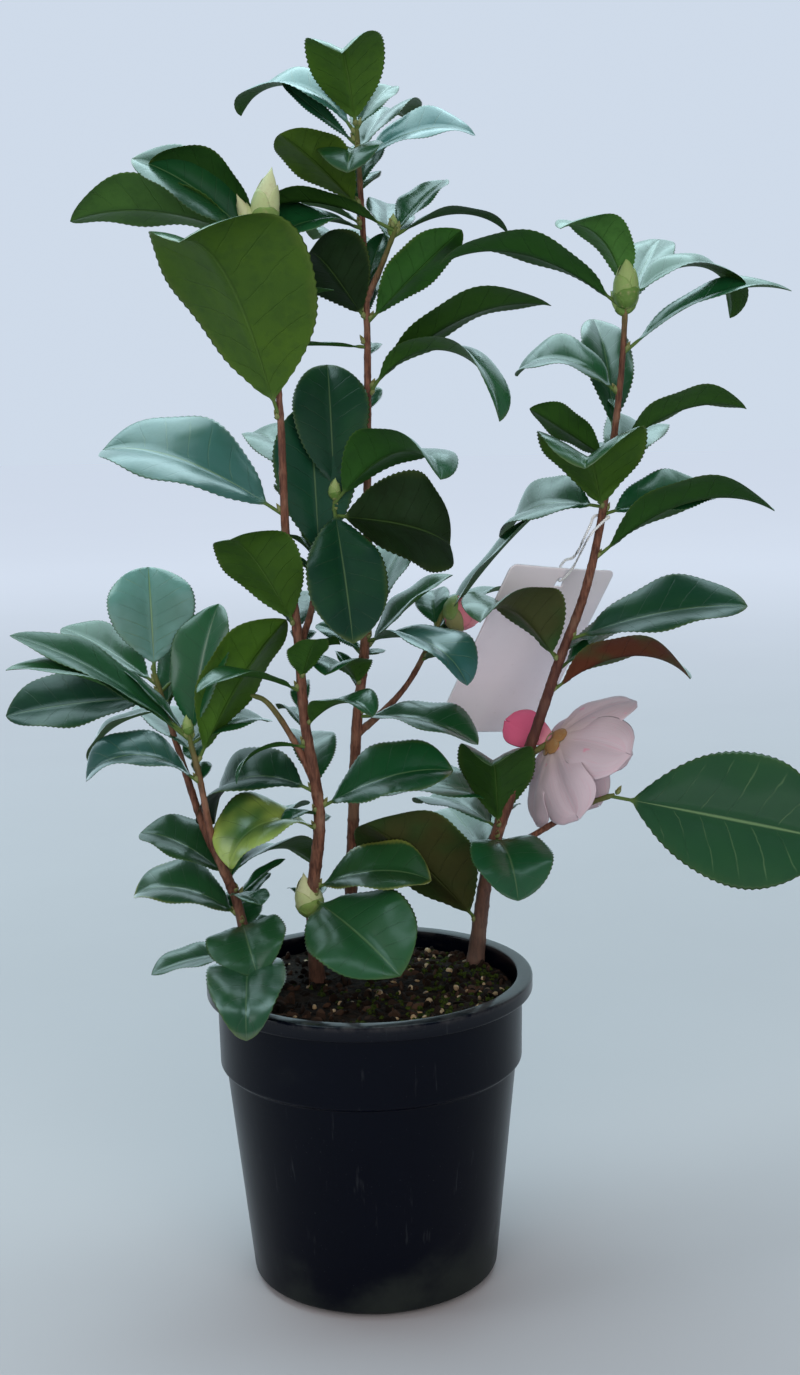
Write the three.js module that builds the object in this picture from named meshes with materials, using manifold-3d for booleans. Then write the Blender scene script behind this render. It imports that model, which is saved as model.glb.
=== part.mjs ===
import * as THREE from "three";
import * as BufferGeometryUtils from "three/addons/utils/BufferGeometryUtils.js";
import Module from "manifold-3d";

// A young camellia shrub in its nursery pot. Sizes are in millimetres and +Z is up. The origin is
// the centre of the pot's flat underside, +X is the plant's right from its front, +Y its back.

// Pot
const potHeight = 162;
const potRimRadius = 85;
const potFootRadius = 64.5;
const potWall = 2.6;
const potFloor = 3;
const bodyTopRadius = 76;
const collarRadius = 79.5;
const collarDepth = 46;
const collarStep = 1.5;
const rimDepth = 9;
const rimRounding = 1.5;
const footRounding = 7;
const footEase = 0.3;
const drainHoles = 6;
const drainHoleRadius = 4;
const drainHoleCircle = 46;
const drainSides = 10;
const potSides = 32;

// Soil, and the gap that pieces keep where they meet
const soilHeight = 153;
const soilEdge = 3;
const touchGap = 0.3;
const simplifyTolerance = 0.06;

// Stems and boughs, as radii
const stemFootRadius = 3.9;
const boughRadius = 2.4;
const tipRadius = 1.3;
const stemFlare = 1.35;
const flareReach = 0.04;
const taperBend = 0.8;
const stemSides = 6;
const stemStep = 18;
const buriedLength = 6;

// Leaves
const petioleShare = 0.1;
const petioleRadius = 1;
const leafThickness = 1.5;
const bladeThinning = 0.4;
const leafTipWidth = 1.2;
const leafFold = 16;
const bladeSwell = 0.9;
const bladeClose = 0.72;
const leafStations = 6;
const bendSteps = 36;
const curlFocus = 1.6;

// Fill-in leaves, which the rule adds behind the ones that are laid out row by row
const fillSeed = 271;
const fillTries = 60;
const fillMost = 2;
const fillSpread = 75;
const fillClearance = 9;
const fillCover = 13;
const fillRises = [10, 65];
const fillLengths = [55, 90];
const fillWidths = [26, 42];
const fillCurls = [15, 80];
const fillRolls = [-25, 25];
const clearFrom = 0.3;
const clearStep = 6;

// Buds and the open flower
const budSides = 6;
const budOutline = [[0, -0.04], [0.55, 0.04], [0.95, 0.3], [0.9, 0.55], [0.5, 0.85], [0, 1]];
const petalLength = 47;
const petalWidth = 44;
const petalThickness = 1;
const petalFold = 12;
const petalFocus = 1.5;
const flowerAxis = [0.75, 0.2, -0.6];
const petalStations = 3;
const flowerHeartRadius = 5;

// Care label and the loop that it hangs by
const labelWidth = 73;
const labelLength = 109;
const labelThickness = 1;
const labelCorner = 4;
const labelHoleRadius = 2.6;
const labelHoleInset = 8;
const labelMiddle = [87, 68, 320];
const labelWidthwise = [57, 42, -9];
const labelLengthwise = [-42, 35, -93];
const loopRadius = 0.5;
const loopSteps = 40;
const loopHeight = 394;
const loopStemRadius = 3.8;

// Colours, and how rough each surface is
const potRoughness = 0.35;
const soilRoughness = 0.95;
const leafRoughness = 0.4;
const barkRoughness = 0.8;
const labelRoughness = 0.4;
const threadRoughness = 0.5;
const barkBrown = new THREE.Color(0.2, 0.09, 0.06);
const leafGreen = new THREE.Color(0.03, 0.12, 0.04);
const potBlack = new THREE.Color(0.012, 0.013, 0.018);
const soilBrown = new THREE.Color(0.05, 0.03, 0.02);
const labelWhite = new THREE.Color(0.8, 0.78, 0.8);

const wasm = await Module();
wasm.setup();

const plant = new THREE.Group();
plant.name = "camellia_shrub";

const vector = (x, y, z) => new THREE.Vector3(x, y, z);
const radians = THREE.MathUtils.degToRad;

// Turns a closed geometry into a solid that can be joined and cut.
function solidOf(geometry) {
  const bare = geometry.clone();
  bare.deleteAttribute("normal");
  bare.deleteAttribute("uv");
  const merged = BufferGeometryUtils.mergeVertices(bare, 1e-4);
  const vertProperties = new Float32Array(merged.attributes.position.array);
  const triVerts = new Uint32Array(merged.index.array);
  return new wasm.Manifold(new wasm.Mesh({ numProp: 3, vertProperties, triVerts }));
}

// Gives the largest connected body of a solid back as a geometry, with no loose scraps.
function geometryOf(solid) {
  const bodies = solid.decompose();
  bodies.sort((a, b) => b.volume() - a.volume());
  const mesh = bodies[0].simplify(simplifyTolerance).getMesh();
  const geometry = new THREE.BufferGeometry();
  geometry.setAttribute("position", new THREE.Float32BufferAttribute(mesh.vertProperties, 3));
  geometry.setIndex(Array.from(mesh.triVerts));
  geometry.computeVertexNormals();
  return geometry;
}

function addPiece(name, solid, color, roughness) {
  const material = new THREE.MeshStandardMaterial({ color, roughness, metalness: 0 });
  const mesh = new THREE.Mesh(geometryOf(solid), material);
  mesh.name = name;
  plant.add(mesh);
}

// A solid of revolution about the plant's upright axis, from pairs of radius and height
function turned(profile, sides) {
  const points = profile.map(([radius, height]) => new THREE.Vector2(radius, height));
  return solidOf(new THREE.LatheGeometry(points, sides).rotateX(Math.PI / 2));
}

// Pot: a thin-walled tapering bucket with a wider collar, a flat foot and drain holes
const collarFoot = potHeight - collarDepth;
const rimFoot = potHeight - rimDepth;
const outside = [
  [0, 0],
  [potFootRadius - footRounding, 0],
  [potFootRadius - footRounding * footEase, footRounding * footEase],
  [potFootRadius, footRounding],
  [bodyTopRadius, collarFoot],
  [collarRadius - collarStep, collarFoot + collarStep],
  [collarRadius, rimFoot],
  [potRimRadius - rimRounding, rimFoot + rimRounding],
  [potRimRadius, rimFoot + 2 * rimRounding],
  [potRimRadius, potHeight - rimRounding],
  [potRimRadius - rimRounding, potHeight],
];
const soilSpace = [
  [collarRadius - potWall, potHeight],
  [collarRadius - collarStep - potWall, collarFoot + 2 * collarStep],
  [bodyTopRadius - potWall, collarFoot],
  [potFootRadius - potWall, footRounding],
  [potFootRadius - footRounding, potFloor],
  [0, potFloor],
];
const drains = [];
for (let hole = 0; hole < drainHoles; hole++) {
  const drain = new THREE.CylinderGeometry(drainHoleRadius, drainHoleRadius, 4 * potFloor, drainSides);
  drain.rotateX(Math.PI / 2).translate(drainHoleCircle, 0, 0).rotateZ((2 * Math.PI * hole) / drainHoles);
  drains.push(solidOf(drain));
}
const pot = turned([...outside, ...soilSpace], potSides).subtract(wasm.Manifold.union(drains));
addPiece("pot", pot, potBlack, potRoughness);

// Soil: fills the pot, flat on top, with a bevelled edge
const soilRadius = collarRadius - potWall - touchGap;
const soil = [
  [0, potFloor + touchGap],
  [potFootRadius - footRounding - touchGap, potFloor + touchGap],
  [potFootRadius - potWall - touchGap, footRounding + touchGap],
  [bodyTopRadius - potWall - touchGap, collarFoot],
  [soilRadius - collarStep, collarFoot + 2 * collarStep],
  [soilRadius - collarStep / 2, soilHeight - soilEdge],
  [soilRadius - collarStep / 2 - soilEdge, soilHeight],
  [0, soilHeight],
];
addPiece("soil", turned(soil, potSides), soilBrown, soilRoughness);

// Shoots: each is a course from its foot to its tip and the radius along it. A stem's foot flares
// out and is buried a little way, so that it can be cut flat at the soil.
function shoot(footRadius, flare, places) {
  const points = places.map(([x, y, z]) => vector(x, y, z));
  const curve = new THREE.CatmullRomCurve3(points, false, "centripetal");
  const radiusAt = (share) => {
    const taper = footRadius + (tipRadius - footRadius) * share ** taperBend;
    return taper * (1 + (flare - 1) * Math.exp(-share / flareReach));
  };
  return { curve, radiusAt };
}

const buried = soilHeight - buriedLength;
const shoots = {
  left: shoot(stemFootRadius * 0.85, stemFlare, [
    [-53, 10, buried],
    [-64, 5, 180],
    [-70, 3, 207],
    [-84, 5, 240],
    [-96, 9, 280],
    [-108, 13, 322],
  ]),
  leftInner: shoot(boughRadius, 1, [
    [-70, 3, 207],
    [-75, -4, 222],
    [-80, -6, 242],
    [-84, -7, 268],
    [-89, -9, 294],
  ]),
  middle: shoot(stemFootRadius, stemFlare, [
    [-28, 17, buried],
    [-29, 6, 200],
    [-24, 1, 246],
    [-30, -3, 298],
    [-32, -5, 340],
    [-36, -9, 385],
    [-37, -12, 450],
    [-39, -12, 493],
    [-45, -10, 538],
  ]),
  middleSide: shoot(boughRadius * 0.85, 1, [
    [-25, 0, 262],
    [-36, -2, 287],
    [-50, -3, 308],
    [-57, -4, 311],
  ]),
  middleInner: shoot(boughRadius * 0.8, 1, [
    [-32, -5, 334],
    [-26, 2, 350],
    [-21, 7, 372],
    [-12, 14, 410],
  ]),
  back: shoot(stemFootRadius * 0.95, stemFlare, [
    [-12, 38, buried],
    [-8, 32, 225],
    [-4, 33, 290],
    [1, 33, 330],
    [5, 33, 442],
    [6, 34, 505],
    [3, 34, 594],
  ]),
  backSide: shoot(boughRadius * 0.8, 1, [
    [-4, 33, 283],
    [7, 38, 291],
    [22, 42, 306],
    [35, 44, 328],
    [43, 45, 346],
  ]),
  backUpper: shoot(boughRadius * 0.7, 1, [
    [6, 34, 508],
    [14, 28, 524],
    [22, 22, 543],
  ]),
  right: shoot(stemFootRadius * 1.1, stemFlare, [
    [56, 41, buried],
    [65, 40, 209],
    [75, 39, 241],
    [88, 38, 274],
    [103, 36, 318],
    [117, 34, 356],
    [126, 31, 398],
    [135, 28, 465],
    [138, 26, 515],
  ]),
  rightSide: shoot(boughRadius * 0.8, 1, [
    [64, 40, 206],
    [75, 34, 217],
    [94, 28, 230],
    [114, 20, 244],
    [130, 15, 251],
  ]),
  flower: shoot(boughRadius * 0.8, 1, [
    [85, 38, 268],
    [92, 39, 271],
    [100, 39, 276],
  ]),
};

// The share of a shoot's course at which it reaches a height
function shareAt(curve, height) {
  let low = 0;
  let high = 1;
  for (let step = 0; step < 24; step++) {
    const middle = (low + high) / 2;
    if (curve.getPointAt(middle).z < height) low = middle;
    else high = middle;
  }
  return high;
}

// A tapering round bar along a shoot, between two heights of its course
function barAlong([name, fromHeight, toHeight], extra) {
  const { curve, radiusAt } = shoots[name];
  const from = shareAt(curve, fromHeight + touchGap);
  const to = shareAt(curve, toHeight);
  const steps = Math.max(1, Math.round((curve.getLength() * (to - from)) / stemStep));
  const bar = new THREE.CylinderGeometry(1, 1, 1, stemSides, steps);
  const position = bar.attributes.position;
  for (let i = 0; i < position.count; i++) {
    const share = from + (to - from) * (position.getY(i) + 0.5);
    const place = curve.getPointAt(share);
    const along = curve.getTangentAt(share);
    const side = vector(0, 1, 0).cross(along).normalize();
    const front = side.clone().cross(along);
    const radius = radiusAt(share) + extra;
    place.addScaledVector(side, position.getX(i) * radius);
    place.addScaledVector(front, position.getZ(i) * radius);
    position.setXYZ(i, place.x, place.y, place.z);
  }
  return solidOf(bar);
}

// A blade's midrib at even steps from root to tip. It bends down by the angle curl in all, the
// more towards its tip the greater the focus.
function midrib(place, forward, across, { length, curl, focus }) {
  const stations = [];
  for (let step = 0; step <= bendSteps; step++) {
    const bend = radians(curl) * (step / bendSteps) ** focus;
    const along = forward.clone().applyAxisAngle(across, bend);
    stations.push({ place: place.clone(), across, normal: along.clone().cross(across) });
    place.addScaledVector(along, length / bendSteps);
  }
  return stations;
}

// A direction from a stem: its heading in degrees from +X towards +Y, and its rise above level
function directionOf(heading, rise) {
  const direction = vector(Math.cos(radians(heading)), Math.sin(radians(heading)), 0);
  return direction.multiplyScalar(Math.cos(radians(rise))).setZ(Math.sin(radians(rise)));
}

// A leaf is a row: height of its root on the shoot, heading and rise of its petiole, length with
// the petiole, width, curl, roll of the blade about its petiole, focus of the curl, and fold.
function leafOf(name, row) {
  const [height, heading, rise, length, width, curl, roll, focus = curlFocus, fold = leafFold] = row;
  const { curve } = shoots[name];
  const forward = directionOf(heading, rise);
  const across = directionOf(heading + 90, 0).applyAxisAngle(forward, radians(roll));
  const root = curve.getPointAt(shareAt(curve, height));
  return { width, fold, stations: midrib(root, forward, across, { length, curl, focus }) };
}

// Half the blade's width at a share of the leaf's length: nothing along the petiole, then a wedge
// that swells to an egg shape and ends in a point
const widestShare = bladeSwell / (bladeSwell + bladeClose);
const widest = widestShare ** bladeSwell * (1 - widestShare) ** bladeClose;
function halfWidth(width, share) {
  const blade = Math.max(0, (share - petioleShare) / (1 - petioleShare));
  return ((width / 2) * blade ** bladeSwell * (1 - blade) ** bladeClose) / widest;
}

// A blade is a bar with a four-cornered section: its two margins, its upper and its lower midrib.
// Both halves rise from the midrib by the fold.
function bladeSolid({ width, fold, stations }, { thickness, count }) {
  const bar = new THREE.CylinderGeometry(1, 1, 1, 4, count);
  const position = bar.attributes.position;
  for (let i = 0; i < position.count; i++) {
    const share = position.getY(i) + 0.5;
    const station = stations[Math.round(share * bendSteps)];
    const least = share < petioleShare ? petioleRadius : leafTipWidth / 2;
    const side = position.getX(i) * Math.max(least, halfWidth(width, share));
    const half = share < petioleShare ? petioleRadius : (thickness / 2) * (1 - bladeThinning * share);
    const lift = Math.abs(side) * Math.tan(radians(fold));
    const place = station.place.clone();
    place.addScaledVector(station.across, -side);
    place.addScaledVector(station.normal, position.getZ(i) * half + lift);
    position.setXYZ(i, place.x, place.y, place.z);
  }
  return solidOf(bar);
}
const leafForm = { thickness: leafThickness, count: leafStations };
const petalForm = { thickness: petalThickness, count: petalStations };

// A bud is a row: height of its root on the shoot, heading, rise, length and radius.
function budSolid(name, [height, heading, rise, length, radius]) {
  const { curve } = shoots[name];
  const points = budOutline.map(([x, y]) => new THREE.Vector2(x * radius, y * length));
  const bud = new THREE.LatheGeometry(points, budSides);
  const direction = directionOf(heading, rise);
  bud.applyQuaternion(new THREE.Quaternion().setFromUnitVectors(vector(0, 1, 0), direction));
  const root = curve.getPointAt(shareAt(curve, height));
  return solidOf(bud.translate(root.x, root.y, root.z));
}

// Rings of petals, from the outer one in: how many, how far they open from the flower's axis, their
// size, how far the first is turned round it, and their curl. The last is a petal that lies back.
const petalRings = [
  [6, 76, 1, 0, -35],
  [4, 42, 0.85, 30, -20],
  [1, 125, 0.6, 248, 10],
];

// The half-double flower: cupped petals round the end of its stalk
const flowerFoot = shoots.flower.curve.getPointAt(1);
function flowerPetals() {
  const axis = vector(...flowerAxis).normalize();
  const sideways = axis.clone().cross(vector(0, 1, 0)).normalize();
  const petals = [];
  for (const [count, opening, size, offset, curl] of petalRings) {
    for (let petal = 0; petal < count; petal++) {
      const radial = sideways.clone().applyAxisAngle(axis, radians(offset + (360 * petal) / count));
      const across = axis.clone().cross(radial);
      const forward = axis.clone().applyAxisAngle(across, radians(opening));
      const course = { length: petalLength * size, curl, focus: petalFocus };
      const stations = midrib(flowerFoot.clone(), forward, across, course);
      petals.push({ width: petalWidth * size, fold: petalFold, stations });
    }
  }
  return petals;
}

// Leaves of each mass, laid out row by row
const leafRows = {
  leftFoot: [
    [214, 172, 42, 54, 38, 50, -20],
    [192, 190, 40, 62, 40, 80, -25],
    [202, 30, 38, 34, 12, 20, 0],
    [205, 300, 10, 32, 20, 20, 0],
    [172, 196, 2, 54, 26, 25, -10],
    [188, 277, 8, 54, 42, 62, 14],
    [176, 273, 0, 102, 40, 110, 0, 7],
  ],
  leftOuter: [
    [320, 100, 80, 58, 46, 30, 0],
    [308, 190, 0, 80, 42, 15, -35],
    [314, 160, 35, 64, 30, 25, -20],
    [302, 182, -8, 52, 26, 70, 0],
  ],
  leftInner: [
    [291, 188, 42, 104, 30, 30, -25],
    [289, 197, 43, 102, 32, 50, -10],
    [276, 24, 62, 88, 48, 25, -60],
    [290, 170, 50, 50, 14, 10, 0],
    [288, 60, 76, 74, 36, 25, 0],
    [266, 202, 43, 68, 42, 110, -20],
  ],
  middleFoot: [
    [201, 304, -10, 78, 58, 25, 24],
    [206, 340, 26, 66, 42, 60, 26],
    [238, 214, 34, 64, 52, 125, -12, 1.4],
    [247, 225, 20, 26, 14, 60, 0],
    [250, 350, 30, 74, 46, 45, 30],
    [258, 172, 30, 82, 50, 120, -24, 1.2],
  ],
  middleHeart: [
    [283, 208, 14, 54, 9, 85, 30],
    [345, 226, 56, 72, 42, 55, 30, 3],
    [312, 212, 28, 62, 26, 60, 0],
    [294, 322, 40, 50, 32, 90, 0, 2],
    [318, 290, 50, 36, 22, 20, 0],
  ],
  middleInner: [
    [408, 95, 80, 76, 40, 40, 0],
    [374, 100, 80, 86, 44, 20, 0],
    [405, 335, 48, 90, 46, 110, -30],
    [406, 282, -50, 80, 42, 15, 0],
    [400, 340, -3, 78, 54, 50, -70],
  ],
  middleArm: [
    [402, 172, 34, 108, 56, 50, -35],
  ],
  middleCrown: [
    [448, 222, 70, 121, 78, 94, 25, 3, 21],
    [535, 172, 24, 95, 46, 52, 30],
    [532, 194, 46, 76, 40, 40, -50],
    [536, 158, 62, 70, 34, 85, 40],
    [500, 345, 30, 34, 16, 30, 0],
  ],
  backLow: [
    [327, 14, 45, 62, 36, 20, 0],
    [332, 320, 15, 76, 42, 80, 0],
    [308, 246, 46, 48, 32, 80, 0],
    [292, 335, 5, 70, 38, 40, 10],
  ],
  backSide: [
    [328, 2, 55, 90, 26, 15, 0],
    [320, 316, 20, 36, 22, 60, 0],
  ],
  backHigh: [
    [462, 352, 43, 110, 36, 60, -25],
    [458, 350, 62, 108, 34, 150, -25, 1],
    [484, 188, 6, 46, 12, 15, 0],
    [497, 214, 52, 60, 41, 90, 45, 3, 24],
    [496, 335, 42, 70, 30, 10, -35],
    [500, 170, 35, 45, 12, 5, 0],
  ],
  backUpper: [
    [541, 190, 28, 86, 30, 72, 8],
    [540, 50, 38, 50, 26, 10, 0],
    [538, 5, 30, 64, 22, 80, 0],
  ],
  backCrown: [
    [592, 252, 66, 56, 40, 118, 16, 3, 30],
    [588, 185, 60, 84, 34, 120, -40, 1.2],
    [584, 170, 42, 50, 10, 10, -50],
    [592, 50, 50, 42, 20, 40, 20],
    [576, 350, 32, 64, 34, 65, 35],
    [553, 222, 38, 64, 34, 20, 25],
    [580, 262, 8, 40, 34, 75, 0],
    [543, 222, 14, 62, 36, 72, -20],
  ],
  rightFoot: [
    [175, 205, 50, 98, 60, 24, 42],
    [222, 280, 8, 60, 44, 80, 0],
    [228, 262, 68, 62, 42, 110, 0, 4, 28],
    [242, 166, 16, 84, 44, 45, -14],
  ],
  rightSide: [
    [250, 350, -10, 116, 72, 8, 68],
  ],
  rightLow: [
    [301, 355, 38, 86, 42, 90, -30],
    [318, 222, 50, 80, 47, 92, 14, 2.2, 26],
    [330, 345, 20, 96, 46, 28, 30],
  ],
  rightMiddle: [
    [372, 350, 41, 106, 42, 75, -28],
    [396, 16, 14, 68, 36, 20, 30],
    [398, 250, 52, 60, 56, 116, 6, 3.2, 30],
    [400, 152, 8, 70, 44, 75, -32],
    [424, 165, 34, 50, 28, 5, 45],
    [427, 5, 40, 76, 38, 65, -25],
  ],
  rightTop: [
    [457, 188, 46, 62, 40, 105, -32],
    [478, 355, 40, 96, 26, 60, 20],
    [506, 200, 80, 64, 34, 105, 20, 1.3],
    [500, 183, 38, 106, 36, 70, 20],
    [503, 5, 44, 84, 34, 150, 20],
  ],
};

// Buds of each mass
const budRows = {
  leftInner: [[292, 250, 80, 11, 2.6]],
  middleFoot: [[189, 196, 55, 24, 6.4]],
  middleInner: [[408, 285, 70, 12, 3]],
  middleCrown: [[536, 10, 78, 32, 6.5], [534, 190, 62, 22, 4]],
  backSide: [[344, 6, 0, 24, 9.5]],
  backUpper: [[538, 80, 70, 13, 2.6]],
  rightTop: [[500, 275, 80, 25, 5.8]],
};

// Pieces of the plant in the order that they grow, each with the stretches of its shoots between
// two heights. A mass also names the shoot that its leaves grow from.
const pieces = [
  { name: "stem_left", stretches: [["left", buried, 164]] },
  { name: "foliage_left_foot", leaves: "leftFoot", shoot: "left",
    stretches: [["left", 164, 228], ["leftInner", 207, 228]] },
  { name: "bough_left_outer", stretches: [["left", 228, 298]] },
  { name: "foliage_left_outer", leaves: "leftOuter", shoot: "left", stretches: [["left", 298, 322]] },
  { name: "bough_left_inner", stretches: [["leftInner", 228, 262]] },
  { name: "foliage_left_inner", leaves: "leftInner", shoot: "leftInner",
    stretches: [["leftInner", 262, 294]] },
  { name: "stem_middle", stretches: [["middle", buried, 186]] },
  { name: "foliage_middle_foot", leaves: "middleFoot", shoot: "middle", stretches: [["middle", 186, 272]] },
  { name: "foliage_middle_heart", leaves: "middleHeart", shoot: "middle",
    stretches: [["middle", 272, 354], ["middleInner", 334, 357]] },
  { name: "bough_middle_side", stretches: [["middleSide", 262, 311]] },
  { name: "bough_middle_inner", stretches: [["middleInner", 357, 370]] },
  { name: "foliage_middle_inner", leaves: "middleInner", shoot: "middleInner",
    stretches: [["middleInner", 370, 410]] },
  { name: "bough_middle_upper", stretches: [["middle", 354, 394]] },
  { name: "foliage_middle_arm", leaves: "middleArm", shoot: "middle", stretches: [["middle", 394, 408]] },
  { name: "bough_middle_top", stretches: [["middle", 408, 442]] },
  { name: "foliage_middle_crown", leaves: "middleCrown", shoot: "middle",
    stretches: [["middle", 442, 538]] },
  { name: "stem_back", stretches: [["back", buried, 280]] },
  { name: "foliage_back_low", leaves: "backLow", shoot: "back", stretches: [["back", 280, 345]] },
  { name: "bough_back_side", stretches: [["backSide", 283, 314]] },
  { name: "foliage_back_side", leaves: "backSide", shoot: "backSide", stretches: [["backSide", 314, 346]] },
  { name: "bough_back", stretches: [["back", 345, 450]] },
  { name: "foliage_back_high", leaves: "backHigh", shoot: "back", stretches: [["back", 450, 528]] },
  { name: "foliage_back_upper", leaves: "backUpper", shoot: "backUpper",
    stretches: [["backUpper", 508, 543]] },
  { name: "foliage_back_crown", leaves: "backCrown", shoot: "back", stretches: [["back", 528, 594]] },
  { name: "stem_right", stretches: [["right", buried, 170]] },
  { name: "foliage_right_foot", leaves: "rightFoot", shoot: "right", stretches: [["right", 170, 246]] },
  { name: "bough_right_side", stretches: [["rightSide", 206, 238]] },
  { name: "foliage_right_side", leaves: "rightSide", shoot: "rightSide",
    stretches: [["rightSide", 238, 251]] },
  { name: "bough_right", stretches: [["right", 246, 264]] },
  { name: "foliage_right_low", leaves: "rightLow", shoot: "right",
    stretches: [["right", 264, 344], ["flower", 268, 276]] },
  { name: "bough_right_upper", stretches: [["right", 344, 366]] },
  { name: "foliage_right_middle", leaves: "rightMiddle", shoot: "right", stretches: [["right", 366, 442]] },
  { name: "foliage_right_top", leaves: "rightTop", shoot: "right", stretches: [["right", 442, 515]] },
];

// Places on a blade that stand for it when clearances are tried: five across, every fifth step
function samplesOf({ width, fold, stations }) {
  const samples = [];
  for (let step = 0; step <= bendSteps; step += 5) {
    const share = step / bendSteps;
    if (share < clearFrom) continue;
    for (let part = -2; part <= 2; part++) {
      const side = (halfWidth(width, share) * part) / 2;
      const sample = stations[step].place.clone().addScaledVector(stations[step].across, side);
      samples.push(sample.addScaledVector(stations[step].normal, Math.abs(side) * Math.tan(radians(fold))));
    }
  }
  return samples;
}

// A leaf may be added where it stays clear of all others and where one of them, or a stem, hides
// it from the front.
function fitsIn(samples, taken) {
  return samples.every((sample) => {
    const clear = taken.every((other) => sample.distanceTo(other) > fillClearance);
    const hides = (other) => Math.hypot(sample.x - other.x, sample.z - other.z) < fillCover;
    return clear && sample.z > soilHeight + fillClearance && taken.some(hides);
  });
}

// Care label: a plate that hangs behind the right stem, turned and tilted back, with a hole
const labelAcross = vector(...labelWidthwise).normalize();
const labelNormal = labelAcross.clone().cross(vector(...labelLengthwise)).normalize();
const labelUp = labelAcross.clone().cross(labelNormal);
const labelPlace = vector(...labelMiddle);
const outline = new THREE.Shape();
const corners = [[1, 1], [-1, 1], [-1, -1], [1, -1]];
for (const [index, [x, y]] of corners.entries()) {
  const centre = [x * (labelWidth / 2 - labelCorner), y * (labelLength / 2 - labelCorner)];
  outline.absarc(centre[0], centre[1], labelCorner, (index * Math.PI) / 2, ((index + 1) * Math.PI) / 2);
}
const labelHole = new THREE.Path();
labelHole.absarc(0, labelLength / 2 - labelHoleInset, labelHoleRadius, 0, 2 * Math.PI, true);
outline.holes.push(labelHole);
const plateForm = { depth: labelThickness, bevelEnabled: false, curveSegments: 4 };
const plate = new THREE.ExtrudeGeometry(outline, plateForm);
const labelFront = labelAcross.clone().cross(labelUp);
const labelFrame = new THREE.Matrix4().makeBasis(labelAcross, labelUp, labelFront).setPosition(labelPlace);
plate.applyMatrix4(labelFrame);
addPiece("care_label", solidOf(plate), labelWhite, labelRoughness);

// Places that are taken already: the label, the stems, the laid-out leaves and the petals
const taken = [];
for (let x = -4; x <= 4; x++) {
  for (let y = -6; y <= 6; y++) {
    taken.push(vector((x * labelWidth) / 8, (y * labelLength) / 12, 0).applyMatrix4(labelFrame));
  }
}
for (const { stretches } of pieces) {
  for (const [name, from, to] of stretches) {
    const { curve } = shoots[name];
    for (let height = from; height <= to; height += clearStep) {
      taken.push(curve.getPointAt(shareAt(curve, height)));
    }
  }
}
for (const { leaves, shoot: name } of pieces) {
  for (const row of leafRows[leaves] ?? []) taken.push(...samplesOf(leafOf(name, row)));
}

for (const petal of flowerPetals()) taken.push(...samplesOf(petal));

// Chance with a fixed seed, so that the same leaves are added every time
let fillState = fillSeed;
function random(low, high) {
  fillState = (fillState * 16807) % 2147483647;
  return low + (high - low) * (fillState / 2147483647);
}

// Leaves that the seeded rule adds to a mass, towards the back
function fillRows({ shoot: name, stretches }) {
  const rows = [];
  const [, from, to] = stretches[0];
  for (let tries = 0; tries < fillTries; tries++) {
    const heading = random(90 - fillSpread, 90 + fillSpread);
    const height = random((from + to) / 2, to - clearStep);
    const sizes = [fillRises, fillLengths, fillWidths, fillCurls, fillRolls];
    const row = [height, heading, ...sizes.map(([low, high]) => random(low, high))];
    const samples = samplesOf(leafOf(name, row));
    if (rows.length === fillMost || !fitsIn(samples, taken)) continue;
    rows.push(row);
    taken.push(...samples);
  }
  return rows;
}

// Every stretch of stem grows out of the ones before it, and is cut clear of them.
const groundBox = new THREE.BoxGeometry(4 * potRimRadius, 4 * potRimRadius, 2 * buriedLength);
const ground = solidOf(groundBox.translate(0, 0, soilHeight + touchGap - buriedLength));
const grown = [ground];
for (const piece of pieces) {
  const bars = piece.stretches.map((stretch) => barAlong(stretch, 0));
  if (piece.leaves) {
    const rows = [...leafRows[piece.leaves], ...fillRows(piece)];
    bars.push(...rows.map((row) => bladeSolid(leafOf(piece.shoot, row), leafForm)));
    bars.push(...(budRows[piece.leaves] ?? []).map((row) => budSolid(piece.shoot, row)));
  }
  if (piece.leaves === "rightLow") {
    const { x, y, z } = flowerFoot;
    bars.push(solidOf(new THREE.SphereGeometry(flowerHeartRadius, budSides, 5).translate(x, y, z)));
    bars.push(...flowerPetals().map((petal) => bladeSolid(petal, petalForm)));
  }
  const solid = wasm.Manifold.union(bars).subtract(wasm.Manifold.union(grown));
  grown.push(...piece.stretches.map((stretch) => barAlong(stretch, touchGap)));
  if (piece.leaves) addPiece(piece.name, solid, leafGreen, leafRoughness);
  else addPiece(piece.name, solid, barkBrown, barkRoughness);
}

// Loop: a closed thread through the label's hole and round the right stem
const { curve: loopStem } = shoots.right;
const hang = loopStem.getPointAt(shareAt(loopStem, loopHeight));
const hole = vector(0, labelLength / 2 - labelHoleInset, labelThickness / 2).applyMatrix4(labelFrame);
const onLabel = (front, rise) => labelFront.clone().multiplyScalar(front).addScaledVector(labelUp, rise);
const atHole = (front, rise) => hole.clone().add(onLabel(front, rise));
const atStem = (x, y, z) => hang.clone().add(vector(x, y, z).multiplyScalar(loopStemRadius));
const thread = new THREE.CatmullRomCurve3(
  [
    hole,
    atHole(3, 4),
    atHole(5, 12),
    atStem(-1.6, -1.5, -2),
    atStem(0.2, -1, -0.3),
    atStem(1, 0.1, 0.2),
    atStem(-0.1, 1, 0.4),
    atStem(-1, 0.3, 0.2),
    atStem(-1.5, -0.6, -0.7),
    atStem(-2.2, -0.9, -2),
    atHole(2, 16),
    atHole(-2.5, 11),
    atHole(-3.5, 5),
  ],
  true,
  "centripetal",
);
const loop = new THREE.TubeGeometry(thread, loopSteps, loopRadius, 4, true);
addPiece("label_loop", solidOf(loop), labelWhite, threadRoughness);

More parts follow.
